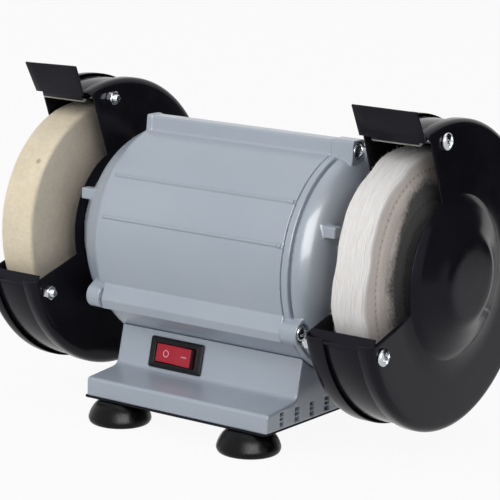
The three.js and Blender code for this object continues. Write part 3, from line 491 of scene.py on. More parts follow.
def soften(outline, radius, steps=4, closed=True):
    """The outline with its corners rounded; radius is one number or one for each corner."""
    points = [Vector(p) for p in outline]
    radii = [radius] * len(points) if isinstance(radius, (int, float)) else radius
    made = []
    for i, corner in enumerate(points):
        before, after = points[i - 1], points[(i + 1) % len(points)]
        into, out = (before - corner), (after - corner)
        ends = not closed and i in (0, len(points) - 1)
        if ends or radii[i] == 0 or into.length < 1e-6 or out.length < 1e-6:
            made.append(tuple(corner))
            continue
        half = into.angle(out) / 2
        if half > math.radians(89):
            made.append(tuple(corner))
            continue
        reach = min(radii[i] / math.tan(half), into.length * 0.49, out.length * 0.49)
        start, end = corner + into.normalized() * reach, corner + out.normalized() * reach
        centre = corner + (into.normalized() + out.normalized()).normalized() * (reach / math.cos(half))
        a, b = start - centre, end - centre
        sweep = a.angle_signed(b)
        for k in range(steps + 1):
            turn = -sweep * k / steps
            c, s = math.cos(turn), math.sin(turn)
            made.append((centre.x + a.x * c - a.y * s, centre.y + a.x * s + a.y * c))
    return made


def spline(points, steps=8, before=None):
    """A smooth curve through the points; before is a point that only sets how it starts."""
    p = np.array([before or points[0]] + list(points) + [points[-1]], float)
    made = []
    for i in range(1, len(p) - 2):
        for t in np.arange(steps) / steps:
            a, b, c, d = p[i - 1:i + 3]
            made.append(0.5 * (2 * b + (c - a) * t + (2 * a - 5 * b + 4 * c - d) * t ** 2
                               + (3 * b - a - 3 * c + d) * t ** 3))
    return [tuple(q) for q in made] + [tuple(points[-1])]


# Turned forms

def lathe(outline, segments, closed, reshape=None):
    """Points and faces of an outline of [x, radius] pairs turned about the X axis.

    reshape takes each point's x, radius and angle, as arrays, and gives its new x and radius."""
    outline = np.array(outline, float)
    turn = np.linspace(0, 2 * math.pi, segments, endpoint=False)[None, :]
    x = np.repeat(outline[:, :1], segments, 1)
    radius = np.repeat(outline[:, 1:], segments, 1)
    if reshape:
        x, radius = reshape(x, radius, turn)
    points = np.stack([x, -radius * np.sin(turn), radius * np.cos(turn)], 2)
    rows = np.arange(len(outline) if closed else len(outline) - 1)[:, None]
    after = (rows + 1) % len(outline)
    j = np.arange(segments)[None, :]
    n = (j + 1) % segments
    corners = (rows * segments + j, rows * segments + n, after * segments + n, after * segments + j)
    return points.reshape(-1, 3), np.stack(corners, 2).reshape(-1, 4).tolist()


def turned(name, outline, slot, body, node, segments, crease, place=(0, 0), side=1, closed=True,
           reshape=None):
    points, faces = lathe(outline, segments, closed, reshape)
    points = points + [0, *place]
    points[:, 0] *= side
    solid(name, points, faces, slot, body, [node], SHAFT_LINE, crease)


def upright(points, x=0, y=0):
    """Points turned about the X axis, stood up about a vertical one."""
    return points[:, [1, 2, 0]] + [x, y, 0]


# Cast forms, as distance fields

def smooth_min(a, b, reach):
    h = np.clip(0.5 + 0.5 * (b - a) / reach, 0, 1)
    return b * (1 - h) + a * h - reach * h * (1 - h)


def smooth_max(a, b, reach):
    return -smooth_min(-a, -b, reach)


def outline_distance(outline, u, v):
    """Signed distance, in a plane, to a closed outline; negative inside."""
    points = np.array(outline, float)
    near = np.full(np.broadcast(u, v).shape, 1e12)
    sign = np.ones(near.shape)
    for a, b in zip(points, np.roll(points, 1, 0)):
        ex, ey = b - a
        wx, wy = u - a[0], v - a[1]
        t = np.clip((wx * ex + wy * ey) / (ex * ex + ey * ey), 0, 1)
        near = np.minimum(near, (wx - ex * t) ** 2 + (wy - ey * t) ** 2)
        above, below, left = v >= a[1], v < b[1], ex * wy > ey * wx
        sign = np.where((above & below & left) | (~above & ~below & ~left), -sign, sign)
    return sign * np.sqrt(near)


class Table:
    """Distances to an outline, read from a fine grid, for outlines of many points."""

    MARGIN = 12

    def __init__(self, outline, pitch=0.4):
        points = np.array(outline, float)
        self.low = points.min(0) - self.MARGIN
        self.pitch = pitch
        high = points.max(0) + self.MARGIN
        u = np.arange(self.low[0], high[0] + pitch, pitch)[:, None]
        v = np.arange(self.low[1], high[1] + pitch, pitch)[None, :]
        self.values = outline_distance(outline, u, v)

    def __call__(self, u, v):
        a = np.clip((u - self.low[0]) / self.pitch, 0, self.values.shape[0] - 1.001)
        b = np.clip((v - self.low[1]) / self.pitch, 0, self.values.shape[1] - 1.001)
        i, j = a.astype(np.int32), b.astype(np.int32)
        a, b = a - i, b - j
        t = self.values
        near, far = (t[i, k] * (1 - a) + t[i + 1, k] * a for k in (j, j + 1))
        return near * (1 - b) + far * b


def slab(u, low, high):
    return np.abs(u - (low + high) / 2) - (high - low) / 2


def rod(u, v, place, radius):
    return np.hypot(u - place[0], v - place[1]) - radius


def bar(section, x, low, high, edge=0.8):
    """A bar of that section along the shaft, with eased ends."""
    return smooth_max(section, slab(x, low, high), edge)


def less(d, *cuts):
    for cut in cuts:
        d = np.maximum(d, -cut)
    return d


def gradient(field, points, step):
    value = field(points[:, 0], points[:, 1], points[:, 2])
    slope = np.empty_like(points)
    for axis in range(3):
        shift = np.zeros(3)
        shift[axis] = step
        after, before = points + shift, points - shift
        slope[:, axis] = (field(*after.T) - field(*before.T)) / (2 * step)
    return value, slope


def surface(field, low, high, pitch):
    """Points, faces and normals of the level surface of a distance field."""
    axes = [np.arange(a - 2 * pitch, b + 2 * pitch, pitch) for a, b in zip(low, high)]
    x, y, z = np.meshgrid(*axes, indexing="ij", sparse=True)
    values = np.broadcast_to(field(x, y, z), [len(a) for a in axes])
    grid = openvdb.FloatGrid(pitch * 3)
    grid.copyFromArray(np.ascontiguousarray(np.clip(values, -pitch * 3, pitch * 3), np.float32))
    points, quads = grid.convertToQuads()
    points = points.astype(float) * pitch + [a[0] for a in axes]
    step = pitch * 0.1
    for _ in range(4):
        value, slope = gradient(field, points, step)
        size = np.maximum((slope ** 2).sum(1), 0.05)
        move = slope * (value / size)[:, None]
        length = np.linalg.norm(move, axis=1, keepdims=True)
        points = points - move * np.minimum(1, pitch * 0.5 / np.maximum(length, 1e-9))
    _, slope = gradient(field, points, step)
    normals = slope / np.maximum(np.linalg.norm(slope, axis=1, keepdims=True), 1e-9)
    quads = quads[:, ::-1]
    a, b, c = points[quads[0, 0]], points[quads[0, 1]], points[quads[0, 2]]
    if np.dot(np.cross(b - a, c - a), normals[quads[0, 0]]) < 0:
        quads = quads[:, ::-1]
    return points, quads.tolist(), normals


def cast(node, field, low, high, pitch, origin=SHAFT_LINE, side=1):
    """One of the machine's castings from its distance field; a side of -1 mirrors it."""
    points, faces, normals = surface(field, low, high, pitch)
    if side < 0:
        points[:, 0] *= -1
        normals[:, 0] *= -1
        faces = [f[::-1] for f in faces]
    piece(f"{node}_cast", points, faces, "body_paint", "machine", [node], origin, normals)


# Motor casing

BARREL, BORE, NOSE = 68.8, 63.5, 42
TIE_CIRCLE, TIE_ANGLES = 70.5, {"top": 11, "front": 118, "rear": 242}
TIES = {key: polar(TIE_CIRCLE, angle) for key, angle in TIE_ANGLES.items()}
RIB_ANGLES = (52.5, 75.1, 284.9, 307.5)
LUG, LUG_TIP, LUG_PROUD, POCKET, POCKET_DEPTH = 7.6, (2.6, 10.2), 0.8, 5.7, 3.2
LUG_END = {"top": 84.3, "front": 80.8, "rear": 80.8}
BOSS_END = {"top": 70.2, "front": 77, "rear": 77}
HOUSING_FACE, BELL_FACE = 102.2, 98.1

# The left end's cup: its depth, how far it drops, and its curve as shares of both
CUP_DEPTH, CUP_DROP = 23, 23.8
CUP = [(0, 0), (0.33, 0.15), (0.59, 0.29), (0.78, 0.43), (0.91, 0.6), (1, 1)]

# The right end's bell: its ring, the groove after it and its dome
BELL_START, RING_END, DOME_START, DOME_END = 68.8, 73.4, 75.2, 90.0
BELL_RING, GROOVE = 69.3, 66.2
DOME_FOOT, DOME_RISE = 45, BARREL - 45.5

# The small blocks on the ends, the bearing's seat, the way for the shaft, and the room around
# the bearing's hub, which ends against each end's wall
BLOCK_SIDE, BLOCK_HEIGHT, BLOCK_START, BLOCK_END = (47, 53.5), (23.5, 30.5), 77, 95
SEAT, SEAT_SPAN, SHAFT_WAY = 17.8, (60, 93.3), 7.95
HUB_ROOM, HUB, HUB_START = 38, 22.8, 82.3
HOUSING_ROOM_END, BELL_ROOM_END = 96.2, 92.1
CAST_WALL = 4

# How far past the shaft line the turned outlines are drawn
PAST = -20

# How round the castings' edges are, the fillets where their parts meet, and how far a rail ends
# before the barrel does; each boss's own growth, the length it shares with the barrel and fillet
EDGE, FILLET, RAIL_GAP = 0.8, 1.2, {"top": 0, "front": 2.0, "rear": 2.0}
BOSSES = {"top": (0.6, 2.4, 0.5), "front": (0, 1.6, 0.3), "rear": (0, 1.6, 0.3)}

# The ribs' line, their gaps to the barrel's ends and fillet, and the radius and edge of a rib
# and of the stub at its start, which is that long
RIB_LINE, RIB_START, RIB_GAP, RIB_FILLET = BARREL + 0.1, 1.6, 1.5, 0.5
RIB, STUB, STUB_END = (1.0, 0.4), (1.5, 0.6), 4.4


def rail_outlines():
    """The sections of the rails, each about its tie bolt."""
    top = about(TIES["top"], (-7, -7), (-6, 6), (4.6, 6), (5.6, -7))
    front = about(TIES["front"], (-2.7, 8.4), (-6.3, -1.1), (-4.3, -6.9), (8.5, -9.5), (8.5, 8.4))
    return {"top": top, "front": front, "rear": [(-a, b) for a, b in front][::-1]}


def teardrop(place):
    """The section of a lug: round about its bolt, with a tip that runs up into the barrel."""
    lean = -math.copysign(1, place[0])
    start = 90 - 40 * lean
    turns = np.radians(np.linspace(start, start - 280 * lean, 25))
    ring = [(LUG * math.cos(t), LUG * math.sin(t)) for t in turns]
    return about(place, *ring, (lean * LUG_TIP[0], LUG_TIP[1]))


RAILS = rail_outlines()
LUGS = {"top": RAILS["top"], "front": teardrop(TIES["front"]), "rear": teardrop(TIES["rear"])}


def blocks_distance(x, y, z, start):
    """The small cast block on each side of a domed end."""
    lump = smooth_max(slab(np.abs(y), *BLOCK_SIDE), slab(z, *BLOCK_HEIGHT), EDGE)
    return bar(lump, x, start, BLOCK_END, FILLET)


def bearing_room(x, r):
    """The bearing's seat and the way for the shaft."""
    return np.minimum(np.maximum(r - SEAT, slab(x, *SEAT_SPAN)), r - SHAFT_WAY)


def hub_room(end):
    """The end of a room's outline, around the bearing's hub."""
    return [(end, HUB_ROOM), (end, HUB), (HUB_START, HUB), (HUB_START, PAST)]


def cup_curve(start, depth, radius, drop, steps):
    points = [(start + depth * a, radius - drop * b) for a, b in CUP]
    level = (2 * points[0][0] - points[1][0], points[1][1])
    return spline(points, steps, level)


def housing_field():
    foot = BARREL - 1.2
    outside = Table([(-HALF_BODY, PAST), (-HALF_BODY, foot), (-HALF_BODY + 0.5, foot),
                     (-HALF_BODY + 0.8, BARREL)]
                    + cup_curve(HALF_BODY, CUP_DEPTH, BARREL, CUP_DROP, 8)
                    + [(HALF_BODY + CUP_DEPTH, NOSE), (HOUSING_FACE, NOSE), (HOUSING_FACE, PAST)], 0.25)
    inner = cup_curve(HALF_BODY, CUP_DEPTH - CAST_WALL, BORE, CUP_DROP - 1.3, 4)
    room = Table([(-90, PAST), (-90, BORE)] + inner + hub_room(HOUSING_ROOM_END))
    rails = {key: Table(soften(value, 1.2, 3), 0.3) for key, value in RAILS.items()}
    bosses = {key: rails[key] if key == "top" else Table(LUGS[key], 0.3) for key in BOSSES}

    def field(x, y, z):
        r = np.hypot(y, z)
        d = outside(x, r)
        for key, table in rails.items():
            d = smooth_min(d, bar(table(y, z), x, -HALF_BODY, HALF_BODY - RAIL_GAP[key]), FILLET)
        for key, (growth, shared, fillet) in BOSSES.items():
            boss = bar(bosses[key](y, z) - growth, x, HALF_BODY - shared, BOSS_END[key])
            d = smooth_min(d, boss, fillet)
        for angle in RIB_ANGLES:
            place, start = polar(RIB_LINE, angle), -HALF_BODY + RIB_START
            rib = bar(rod(y, z, place, RIB[0]), x, start, HALF_BODY - RIB_GAP, RIB[1])
            stub = bar(rod(y, z, place, STUB[0]), x, start, -HALF_BODY + STUB_END, STUB[1])
            d = smooth_min(d, np.minimum(rib, stub), RIB_FILLET)
        d = smooth_min(d, blocks_distance(x, y, z, HALF_BODY), FILLET)
        return less(d, HALF_BODY + x, room(x, r), bearing_room(x, r))

    return field


def dome_curve(depth, count):
    """The bell's dome from its rim to its end, at a depth under its outer surface."""
    length, rise = DOME_END - DOME_START - depth, DOME_RISE - depth
    return [(DOME_START + length * math.sin(t), DOME_FOOT + rise * math.cos(t))
            for t in np.linspace(0, math.pi / 2, count)]


def bell_field():
    ring = [(BELL_START, PAST), (BELL_START, BELL_RING - 0.3), (BELL_START + 0.3, BELL_RING),
            (RING_END - 0.5, BELL_RING), (RING_END, BELL_RING - 0.5), (RING_END, GROOVE),
            (DOME_START, GROOVE)]
    nose = [(DOME_END, NOSE + 0.6), (DOME_END + 0.6, NOSE), (BELL_FACE, NOSE), (BELL_FACE, PAST)]
    outside = Table(ring + dome_curve(0, 22) + nose, 0.3)
    room = Table([(40, PAST), (40, BORE), (DOME_START, BORE)] + dome_curve(CAST_WALL, 12)[1:]
                 + hub_room(BELL_ROOM_END))
    lugs = {key: Table(soften(value, 1.0, 3) if key == "top" else value, 0.3)
            for key, value in LUGS.items()}

    def field(x, y, z):
        r = np.hypot(y, z)
        d = outside(x, r)
        for key, table in lugs.items():
            proud = LUG_PROUD if key == "top" else 0
            d = smooth_min(d, bar(table(y, z) - proud, x, BELL_START, LUG_END[key]), EDGE)
        d = smooth_min(d, blocks_distance(x, y, z, BLOCK_START), FILLET)
        for key, place in TIES.items():
            d = less(d, np.maximum(rod(y, z, place, POCKET), LUG_END[key] - POCKET_DEPTH - x))
        return less(d, x - BELL_START, room(x, r), bearing_room(x, r))

    return field


cast("motor_housing", housing_field(), (-68.5, -80, -80), (103, 80, 80), 1.0, side=-1)
cast("end_bell", bell_field(), (68.8, -80, -80), (99, 80, 80), 0.8)


# Pedestal

WALL_TOP, WALL_FOOT = 43.4, (48.7, 32.0)
SKIRT_TOP, SKIRT_EDGE = 27.1, 1.4
STEP, STEP_RISE, COVE = 53.5, 2.2, (50.5, 30.2)
END_EDGE, RIM_HEIGHT, VENT_EDGE = 1.6, 2, 0.5
SADDLE = BARREL + 0.3
SADDLE_TOP = SHAFT - math.sqrt(SADDLE ** 2 - WALL_TOP ** 2)
LEAN = math.atan((WALL_FOOT[0] - WALL_TOP) / (SADDLE_TOP - WALL_FOOT[1]))

# The switch's place and half its opening along, up and through the wall; the same for the gland
SWITCH_PLACE, SWITCH_OPENING = (-23.3, 41.8), (17.8, 7.2, 13.6)
GLAND_PLACE, GLAND_HOLE, GLAND_WALL = (30, 43), 6.3, (37, 55)

# The vents of each end: how many on each side of the middle one, and their sizes
VENTS, VENT_PITCH, VENT_WIDTH, VENT_LOW, VENT_HIGH, VENT_BACK = 4, 15.8, 4.6, 17.6, 26.0, 60
VENT_BAR = (1.0, 0.55)


def wall_at(height):
    """How far the leaning wall stands from the middle plane, at a height above the bench."""
    return WALL_FOOT[0] - (height - WALL_FOOT[1]) * math.tan(LEAN)


def pedestal_outline(inset=0.0):
    """The pedestal's section across the shaft, at a depth inside its surface."""
    radius, top, front = SADDLE + inset, WALL_TOP - inset, SKIRT_FRONT - inset
    side = [(front, SKIRT_FOOT), (front, SKIRT_TOP - SKIRT_EDGE - inset),
            (front - SKIRT_EDGE, SKIRT_TOP - inset),
            (STEP - inset / 2, SKIRT_TOP + STEP_RISE - inset), (COVE[0] - inset, COVE[1] - inset / 2),
            (WALL_FOOT[0] - inset, WALL_FOOT[1]), (top, SHAFT - math.sqrt(radius ** 2 - top ** 2))]
    reach = math.asin(top / radius)
    turns = np.linspace(reach, -reach, 33)[1:-1]
    saddle = [(radius * math.sin(t), SHAFT - radius * math.cos(t)) for t in turns]
    return side + saddle + [(-a, b) for a, b in side][::-1]


def pedestal_field():
    rounds = [0, 1.0, 1.6, 3, 3, 3]
    outside = Table(soften(pedestal_outline(), rounds + [0.2] + [0] * 31 + [0.2] + rounds[::-1]), 0.4)
    room = Table(pedestal_outline(CAST_WALL), 0.5)
    inner = HALF_BODY - CAST_WALL

    def field(x, y, z):
        d = smooth_max(outside(y, z), np.abs(x) - HALF_BODY, END_EDGE)
        mouth = np.maximum(np.abs(x) - inner, np.abs(y) - SKIRT_FRONT + CAST_WALL)
        inside = np.maximum(room(y, z), np.abs(x) - inner)
        d = less(d, inside, np.maximum(mouth, z - SKIRT_FOOT - RIM_HEIGHT))
        column = np.abs(y - VENT_PITCH * np.round(np.clip(y / VENT_PITCH, -VENTS, VENTS))) - VENT_WIDTH / 2
        vent = np.maximum(np.maximum(column, slab(z, VENT_LOW, VENT_HIGH)), VENT_BACK - np.abs(x))
        d = smooth_max(d, -vent, VENT_EDGE)
        across, height = y + wall_at(SWITCH_PLACE[1]), z - SWITCH_PLACE[1]
        out = -across * math.cos(LEAN) + height * math.sin(LEAN)
        along = height * math.cos(LEAN) + across * math.sin(LEAN)
        opening = -1e12
        for way, half in zip((x - SWITCH_PLACE[0], along, out), SWITCH_OPENING):
            opening = np.maximum(opening, np.abs(way) - half)
        return less(d, opening, np.maximum(rod(x, z, GLAND_PLACE, GLAND_HOLE), slab(y, *GLAND_WALL)))

    return field


cast("pedestal", pedestal_field(), (-69, -79, 15), (69, 79, 56), 0.9, BENCH)


def vent_bars():
    """Two thin bars across every vent, cast with the pedestal's ends."""
    wide, thick = VENT_BAR
    section = soften(corners((-wide, -thick), (wide, thick)), 0.35, 3)
    reach = VENT_WIDTH / 2 + 0.6
    bars = []
    for side in (-1, 1):
        for i in range(-VENTS, VENTS + 1):
            for height in np.linspace(VENT_LOW, VENT_HIGH, 4)[1:-1]:
                ends = [[(side * (HALF_BODY - 1.5 + a), i * VENT_PITCH + y, height + b) for a, b in section]
                        for y in (-reach, reach)]
                bars.append(loft(ends, True))
    solid("pedestal_vent_bars", *together(bars), "body_paint", "machine", [], crease=40)


vent_bars()


# Guards

MOUTH_TOP, MOUTH_BOTTOM = 21.5, 106.5
MOUTH_STEPS, BACK_STEPS = 34, 110
HUB_DISC, PLATE, SHEET, FLAP_SHEET = 49.5, 144.5, 1.0, 1.2
CORNER, CORNER_CENTRE = 4.5, 88
PAN_RADII, PLATE_RADII = (30, 36, 42, HUB_DISC), (62, 75, 83)
PAN_EDGE, COVER_EDGE = 112, 135.5

# The cover's dome, as height and radius: the curve over it and the step at its foot
DOME = [(12, 0), (12, 12), (11.9, 21), (11, 25.5), (8, 32), (3.4, 43.5)]
DOME_STEP = [(1.9, 47.4), (0.3, 48.9), (0, HUB_DISC)]

# The rim's band between pan and cover, and the lip at its lower end
BAND = (107.8, 139.7)
RIM, RIM_FOOT = GUARD - 2.4, 109.5
LIP_TOP, LIP_FOLD, LIP_END = polar(85.2, 105.4), polar(88.6, 109), 143.4

# The flap's corners from its tip to its tuck, where its inner end lies at the tip and at the
# ears, and how much higher its first two rows lie at both ends of the band
FLAP_TOP, FLAP_EAR, FLAP_FOLD = polar(113.6, 25.78), polar(92, 24.67), polar(88.9, 24.45)
FLAP_TUCK, FLAP_BEND = 88.9, 2.4
FLAP_INNER = {"left": (103.4, 106.0), "right": (100.9, 99.9)}
FLAP_LIFT = {"left": ((2.6, 1.8), (1.6, 1.2)), "right": ((0.2, 0), (0, 0))}


def turned_sheet(outline, inner, side):
    """A sheet turned about the shaft line, whose mouth is open beyond the hub disc.

    The outline is the sheet's middle, from the hub out; its first inner pairs go all the way
    round."""
    mouth = np.linspace(MOUTH_TOP, MOUTH_BOTTOM, MOUTH_STEPS + 1)
    angles = np.concatenate([mouth, np.linspace(MOUTH_BOTTOM, 360 + MOUTH_TOP, BACK_STEPS + 1)[1:-1]])
    points = [(side * x, *polar(r, a)) for x, r in outline for a in angles]
    count = len(angles)
    faces = []
    for i in range(len(outline) - 1):
        for j in range(MOUTH_STEPS if i + 1 >= inner else 0, count):
            n = (j + 1) % count
            faces.append((i * count + j, i * count + n, (i + 1) * count + n, (i + 1) * count + j))
    return points, faces


def strip(path, columns, wide, side):
    """A bent strip along the shaft, whose first rows are as wide as the outer columns reach."""
    count = len(columns)
    points = [(side * x, y, z) for y, z in path for x in columns]
    faces = []
    for i in range(len(path) - 1):
        for j in range(0 if i < wide else 1, count - 1 if i < wide else count - 2):
            faces.append((i * count + j, i * count + j + 1, (i + 1) * count + j + 1, (i + 1) * count + j))
    return points, faces


def sheet_piece(node, form, points, faces, thickness=SHEET, look=None):
    """A piece of sheet metal: its middle surface thickened, with its edges eased."""
    used = sorted({k for f in faces for k in f})
    place = {k: n for n, k in enumerate(used)}
    faces = [[place[k] for k in f] for f in faces]
    made = solid(f"{node}_{form}", [points[k] for k in used], faces, "guard_paint", "machine", [node],
                 SHAFT_LINE, 0, look)
    thick = made.modifiers.new("thickness", "SOLIDIFY")
    thick.thickness, thick.offset, thick.use_even_offset = thickness * MM, 0, True
    thick.use_quality_normals = True
    bevel = made.modifiers.new("edges", "BEVEL")
    bevel.width, bevel.segments = 0.28 * MM, 2
    bevel.limit_method, bevel.angle_limit = "ANGLE", math.radians(50)
    settle(made)
    made.data.shade_smooth()
    made.data.set_sharp_from_angle(angle=math.radians(40))


def inner_pan(hand, side):
    face = GUARD_FACE[hand] + SHEET / 2
    outline = [(face, r) for r in PAN_RADII + PLATE_RADII]
    outline += arc((face + CORNER, CORNER_CENTRE), CORNER, 180, 90, 8)
    outline += [(PAN_EDGE, CORNER_CENTRE + CORNER)]
    sheet_piece(f"guard_pan_{hand}", "pressed", *turned_sheet(outline, len(PAN_RADII), side))


def outer_cover(hand, side):
    outline = [(PLATE + rise, r) for rise, r in spline(DOME, 4) + DOME_STEP]
    inner = len(outline)
    outline += [(PLATE, r) for r in PLATE_RADII] + arc((PLATE - CORNER, CORNER_CENTRE), CORNER, 0, 90, 8)
    outline += [(COVER_EDGE, CORNER_CENTRE + CORNER)]
    sheet_piece(f"guard_cover_{hand}", "pressed", *turned_sheet(outline, inner, side))


def rim_with_lip(hand, side):
    """The rolled rim; its folded lip reaches from the pan to the cover."""
    sweep = [polar(RIM, a) for a in np.linspace(RIM_FOOT, 360 + MOUTH_TOP, BACK_STEPS)]
    path = soften([LIP_TOP, LIP_FOLD, sweep[0], sweep[2]], 0.8, 4, closed=False)[:-1] + sweep[2:]
    columns = [GUARD_FACE[hand] + SHEET + 0.6, *BAND, LIP_END]
    sheet_piece(f"guard_rim_{hand}", "rolled", *strip(path, columns, 3, side))


def bent_flap(hand, side):
    """The flap over the mouth: its tip stands out, and its tuck lies under the rim."""
    tuck = [polar(FLAP_TUCK, a) for a in np.linspace(21, 13.5, 7)]
    bend = soften([FLAP_EAR, FLAP_FOLD, tuck[0]], FLAP_BEND, 8, closed=False)
    columns = [FLAP_INNER[hand][0], *BAND, PLATE + SHEET / 2 - 0.2]
    points, faces = strip([FLAP_TOP] + bend[:-1] + tuck, columns, 1, side)
    count = len(columns)
    points[count] = (side * FLAP_INNER[hand][1], *FLAP_EAR)
    for row, lift in enumerate(FLAP_LIFT[hand]):
        for k in range(row * count, (row + 1) * count):
            x, y, z = points[k]
            points[k] = (x, y, z + np.interp(abs(x), BAND, lift))
    sheet_piece(f"guard_flap_{hand}", "bent", points, faces, FLAP_SHEET, FLAP_LOOK)


for hand, side in SIDES.items():
    inner_pan(hand, side)
    outer_cover(hand, side)
    rim_with_lip(hand, side)
    bent_flap(hand, side)


# Screws and nuts

def helix(x, turn, pitch):
    """0 on a thread's crest and 1 in its root."""
    phase = np.mod(x / pitch - turn / (2 * math.pi), 1)
    return np.abs(2 * phase - 1)


def screw(node, side, place, under, tail, size, turn):
    """A pan-head screw with a cross recess, its head's seat at under and its thread's end at tail."""
    shank, head, rise, pitch = size
    flat = rise * HEAD_FLAT
    ball = (head ** 2 + (rise - flat) ** 2) / (2 * (rise - flat))
    top = under + rise
    cap = [(top - ball + math.sqrt(ball ** 2 - r * r), r) for r in np.linspace(head - 0.25, 0, 22)]
    thread_end = min(tail + 12, under - 2)
    thread = [(x, shank) for x in np.arange(tail + 0.6, thread_end, pitch / 5)]
    outline = [(tail, 0), (tail, shank - 0.6)] + thread + [(thread_end + 0.2, shank), (under, shank)]
    outline += [(under, head - 0.2), (under + 0.2, head), (under + flat - 0.2, head)] + cap

    def reshape(x, r, a):
        cutting = (x > tail + 0.3) & (x < thread_end) & (r > shank - 0.5)
        r = r - np.where(cutting, helix(x, a, pitch) * pitch * 0.45, 0)
        u, v = np.abs(r * np.sin(a + turn)), np.abs(r * np.cos(a + turn))
        wide, long = (head * share for share in CROSS)
        arms = np.minimum(np.maximum(u - wide, v - long), np.maximum(v - wide, u - long))
        sunk = np.clip(-arms / 0.4 + 0.5, 0, 1) * rise * CROSS_DEPTH
        return np.where(x > under + flat, np.minimum(x, top - sunk), x), r

    turned(f"{node}_pan_head", outline, "zinc", "machine", node, 48, 40, place, side, False, reshape)


def hex_nut(node, body, side, place, start, size, turn=0.0):
    """A hexagon nut, chamfered at both ends."""
    height, across, bore = size
    outline = [(start + 0.4, bore), (start, bore + 0.5)] + [(start + height * s, across) for s in NUT_ROWS]
    outline += [(start + height, bore + 0.5), (start + height - 0.4, bore)]
    lean = math.tan(math.radians(30))

    def reshape(x, r, a):
        sixth = np.mod(a + turn, math.pi / 3) - math.pi / 6
        flat = across / 2 / np.cos(sixth)
        end = np.minimum(x - start, start + height - x)
        chamfer = across / 2 * 0.97 + end / lean
        return x, np.where(r >= across, np.minimum(flat, chamfer), r)

    turned(f"{node}_hexagon", outline, "zinc", body, node, 72, 30, place, side, True, reshape)


# Screws as the radii of shank and head, the head's rise and the thread's pitch, and nuts as
# height, width across the flats and the bore's radius
GUARD_BOLT, GUARD_SCREW, TIE_BOLT = (2.5, 5.2, 3.2, 0.8), (2.0, 3.8, 1.8, 0.7), (2.5, 4.9, 3.6, 0.8)
GUARD_NUT, ARBOR_NUT = (4, 8, 2.5), (6.5, 19, 6.4)

# Shares of a head: its straight side, the cross's half width, half length and depth
HEAD_FLAT, CROSS, CROSS_DEPTH = 0.4, (0.15, 0.6), 0.62

# Where a nut's outline has its points, as shares of its height, closer near its chamfers
NUT_ROWS = (0, 0.04, 0.08, 0.13, 0.19, 0.26, 0.4, 0.6, 0.74, 0.81, 0.87, 0.92, 0.96, 1)

GUARD_BOLT_ANGLES = {"top": 11.5, "front": 113.5, "rear": 242}
GUARD_SCREW_ANGLES = {"upper": 0, "front": 120, "rear": 240}
GUARD_BOLT_CIRCLE, GUARD_SCREW_CIRCLE = 84, 35.5
NOSE_FACE = {"left": HOUSING_FACE, "right": BELL_FACE}


def fasteners():
    for hand, side in SIDES.items():
        face = GUARD_FACE[hand]
        end = face - 0.3 - GUARD_NUT[0]
        for n, (where, angle) in enumerate(GUARD_BOLT_ANGLES.items()):
            place = polar(GUARD_BOLT_CIRCLE, angle)
            screw(f"guard_bolt_{hand}_{where}", side, place, PLATE + 0.8, end - 2.6, GUARD_BOLT, 0.3 + n)
            hex_nut(f"guard_nut_{hand}_{where}", "machine", side, place, end, GUARD_NUT, 0.4 + 0.7 * n)
        for n, (where, angle) in enumerate(GUARD_SCREW_ANGLES.items()):
            screw(f"guard_screw_{hand}_{where}", side, polar(GUARD_SCREW_CIRCLE, angle), face + SHEET + 0.3,
                  NOSE_FACE[hand] - 5.2, GUARD_SCREW, 0.8 * n)
    for n, (where, place) in enumerate(TIES.items()):
        screw(f"tie_bolt_{where}", 1, place, LUG_END[where] - 2.4, 3.3 - BOSS_END[where], TIE_BOLT, 0.5 + n)


fasteners()


# Wheels and drive

RANDOM = np.random.default_rng(11)


def grain(rows, columns, passes):
    """Random heights between about -1 and 1, smoothed over neighbours and closed all round."""
    field = RANDOM.normal(size=(rows, columns))
    for _ in range(passes):
        field = (field + np.roll(field, 1, 1) + np.roll(field, -1, 1)) / 3
        field[1:-1] = (field[:-2] + field[1:-1] + field[2:]) / 3
    return field / np.abs(field).max()


WHEEL_BORE, FELT_EDGE, FELT_GRAIN = 6.7, 2, (0.22, 0.3)


def felt_wheel():
    low, high = FELT
    radii = [(0, r) for r in np.arange(8, WHEEL - 2.2, 1.6)]
    across = np.arange(low + 2.4, high - 2.2, 1.5)
    rim = WHEEL - FELT_EDGE
    outline = about((low, 0), (0, WHEEL_BORE), *radii) + arc((low + FELT_EDGE, rim), FELT_EDGE, 180, 90, 6)
    outline += [(x, WHEEL) for x in across] + arc((high - FELT_EDGE, rim), FELT_EDGE, 90, 0, 6)
    outline += about((high, 0), *radii[::-1], (0, WHEEL_BORE))
    segments = 300
    rough = grain(len(outline), segments, 1) * FELT_GRAIN[0]
    rough = rough + grain(len(outline), segments, 12) * FELT_GRAIN[1]

    def reshape(x, r, a):
        tread = np.clip((r - WHEEL + 3) / 3, 0, 1)
        inward = np.where(x < (low + high) / 2, 1, -1) * (1 - tread)
        return x + inward * np.abs(rough), np.minimum(r + rough * tread * 0.7, WHEEL)

    turned("felt_wheel_pressed", outline, "felt", "arbor", "felt_wheel", segments, 0, side=-1,
           reshape=reshape)


# The cloth's plies, the points over each ply's edge as shares of its width and depth, and the
# waves of its outer plies as number, start and size
PLIES = 19
PLY_EDGE = ((0.06, 0.5), (0.34, 0), (0.66, 0), (0.94, 0.5))
WAVES, WAVE_SIZE = ((5, 1.0, 0.9), (9, 2.2, 0.6), (14, 0.3, 0.35), (23, 1.7, 0.2)), 0.8

# How deep and wide the rings pucker with thread and without, and each stitch; how far the sides
# bulge and from which radius over which width; where the plies come loose, in the same way
PUCKER, RING_PUCKER, PUCKER_WIDTH, STITCH_PUCKER, STITCH_WIDTH = 0.9, 0.45, 1.5, 0.8, 0.8
BELLY, BELLY_SPAN, LOOSE_SPAN = 0.9, (20, 50), (58, 14)

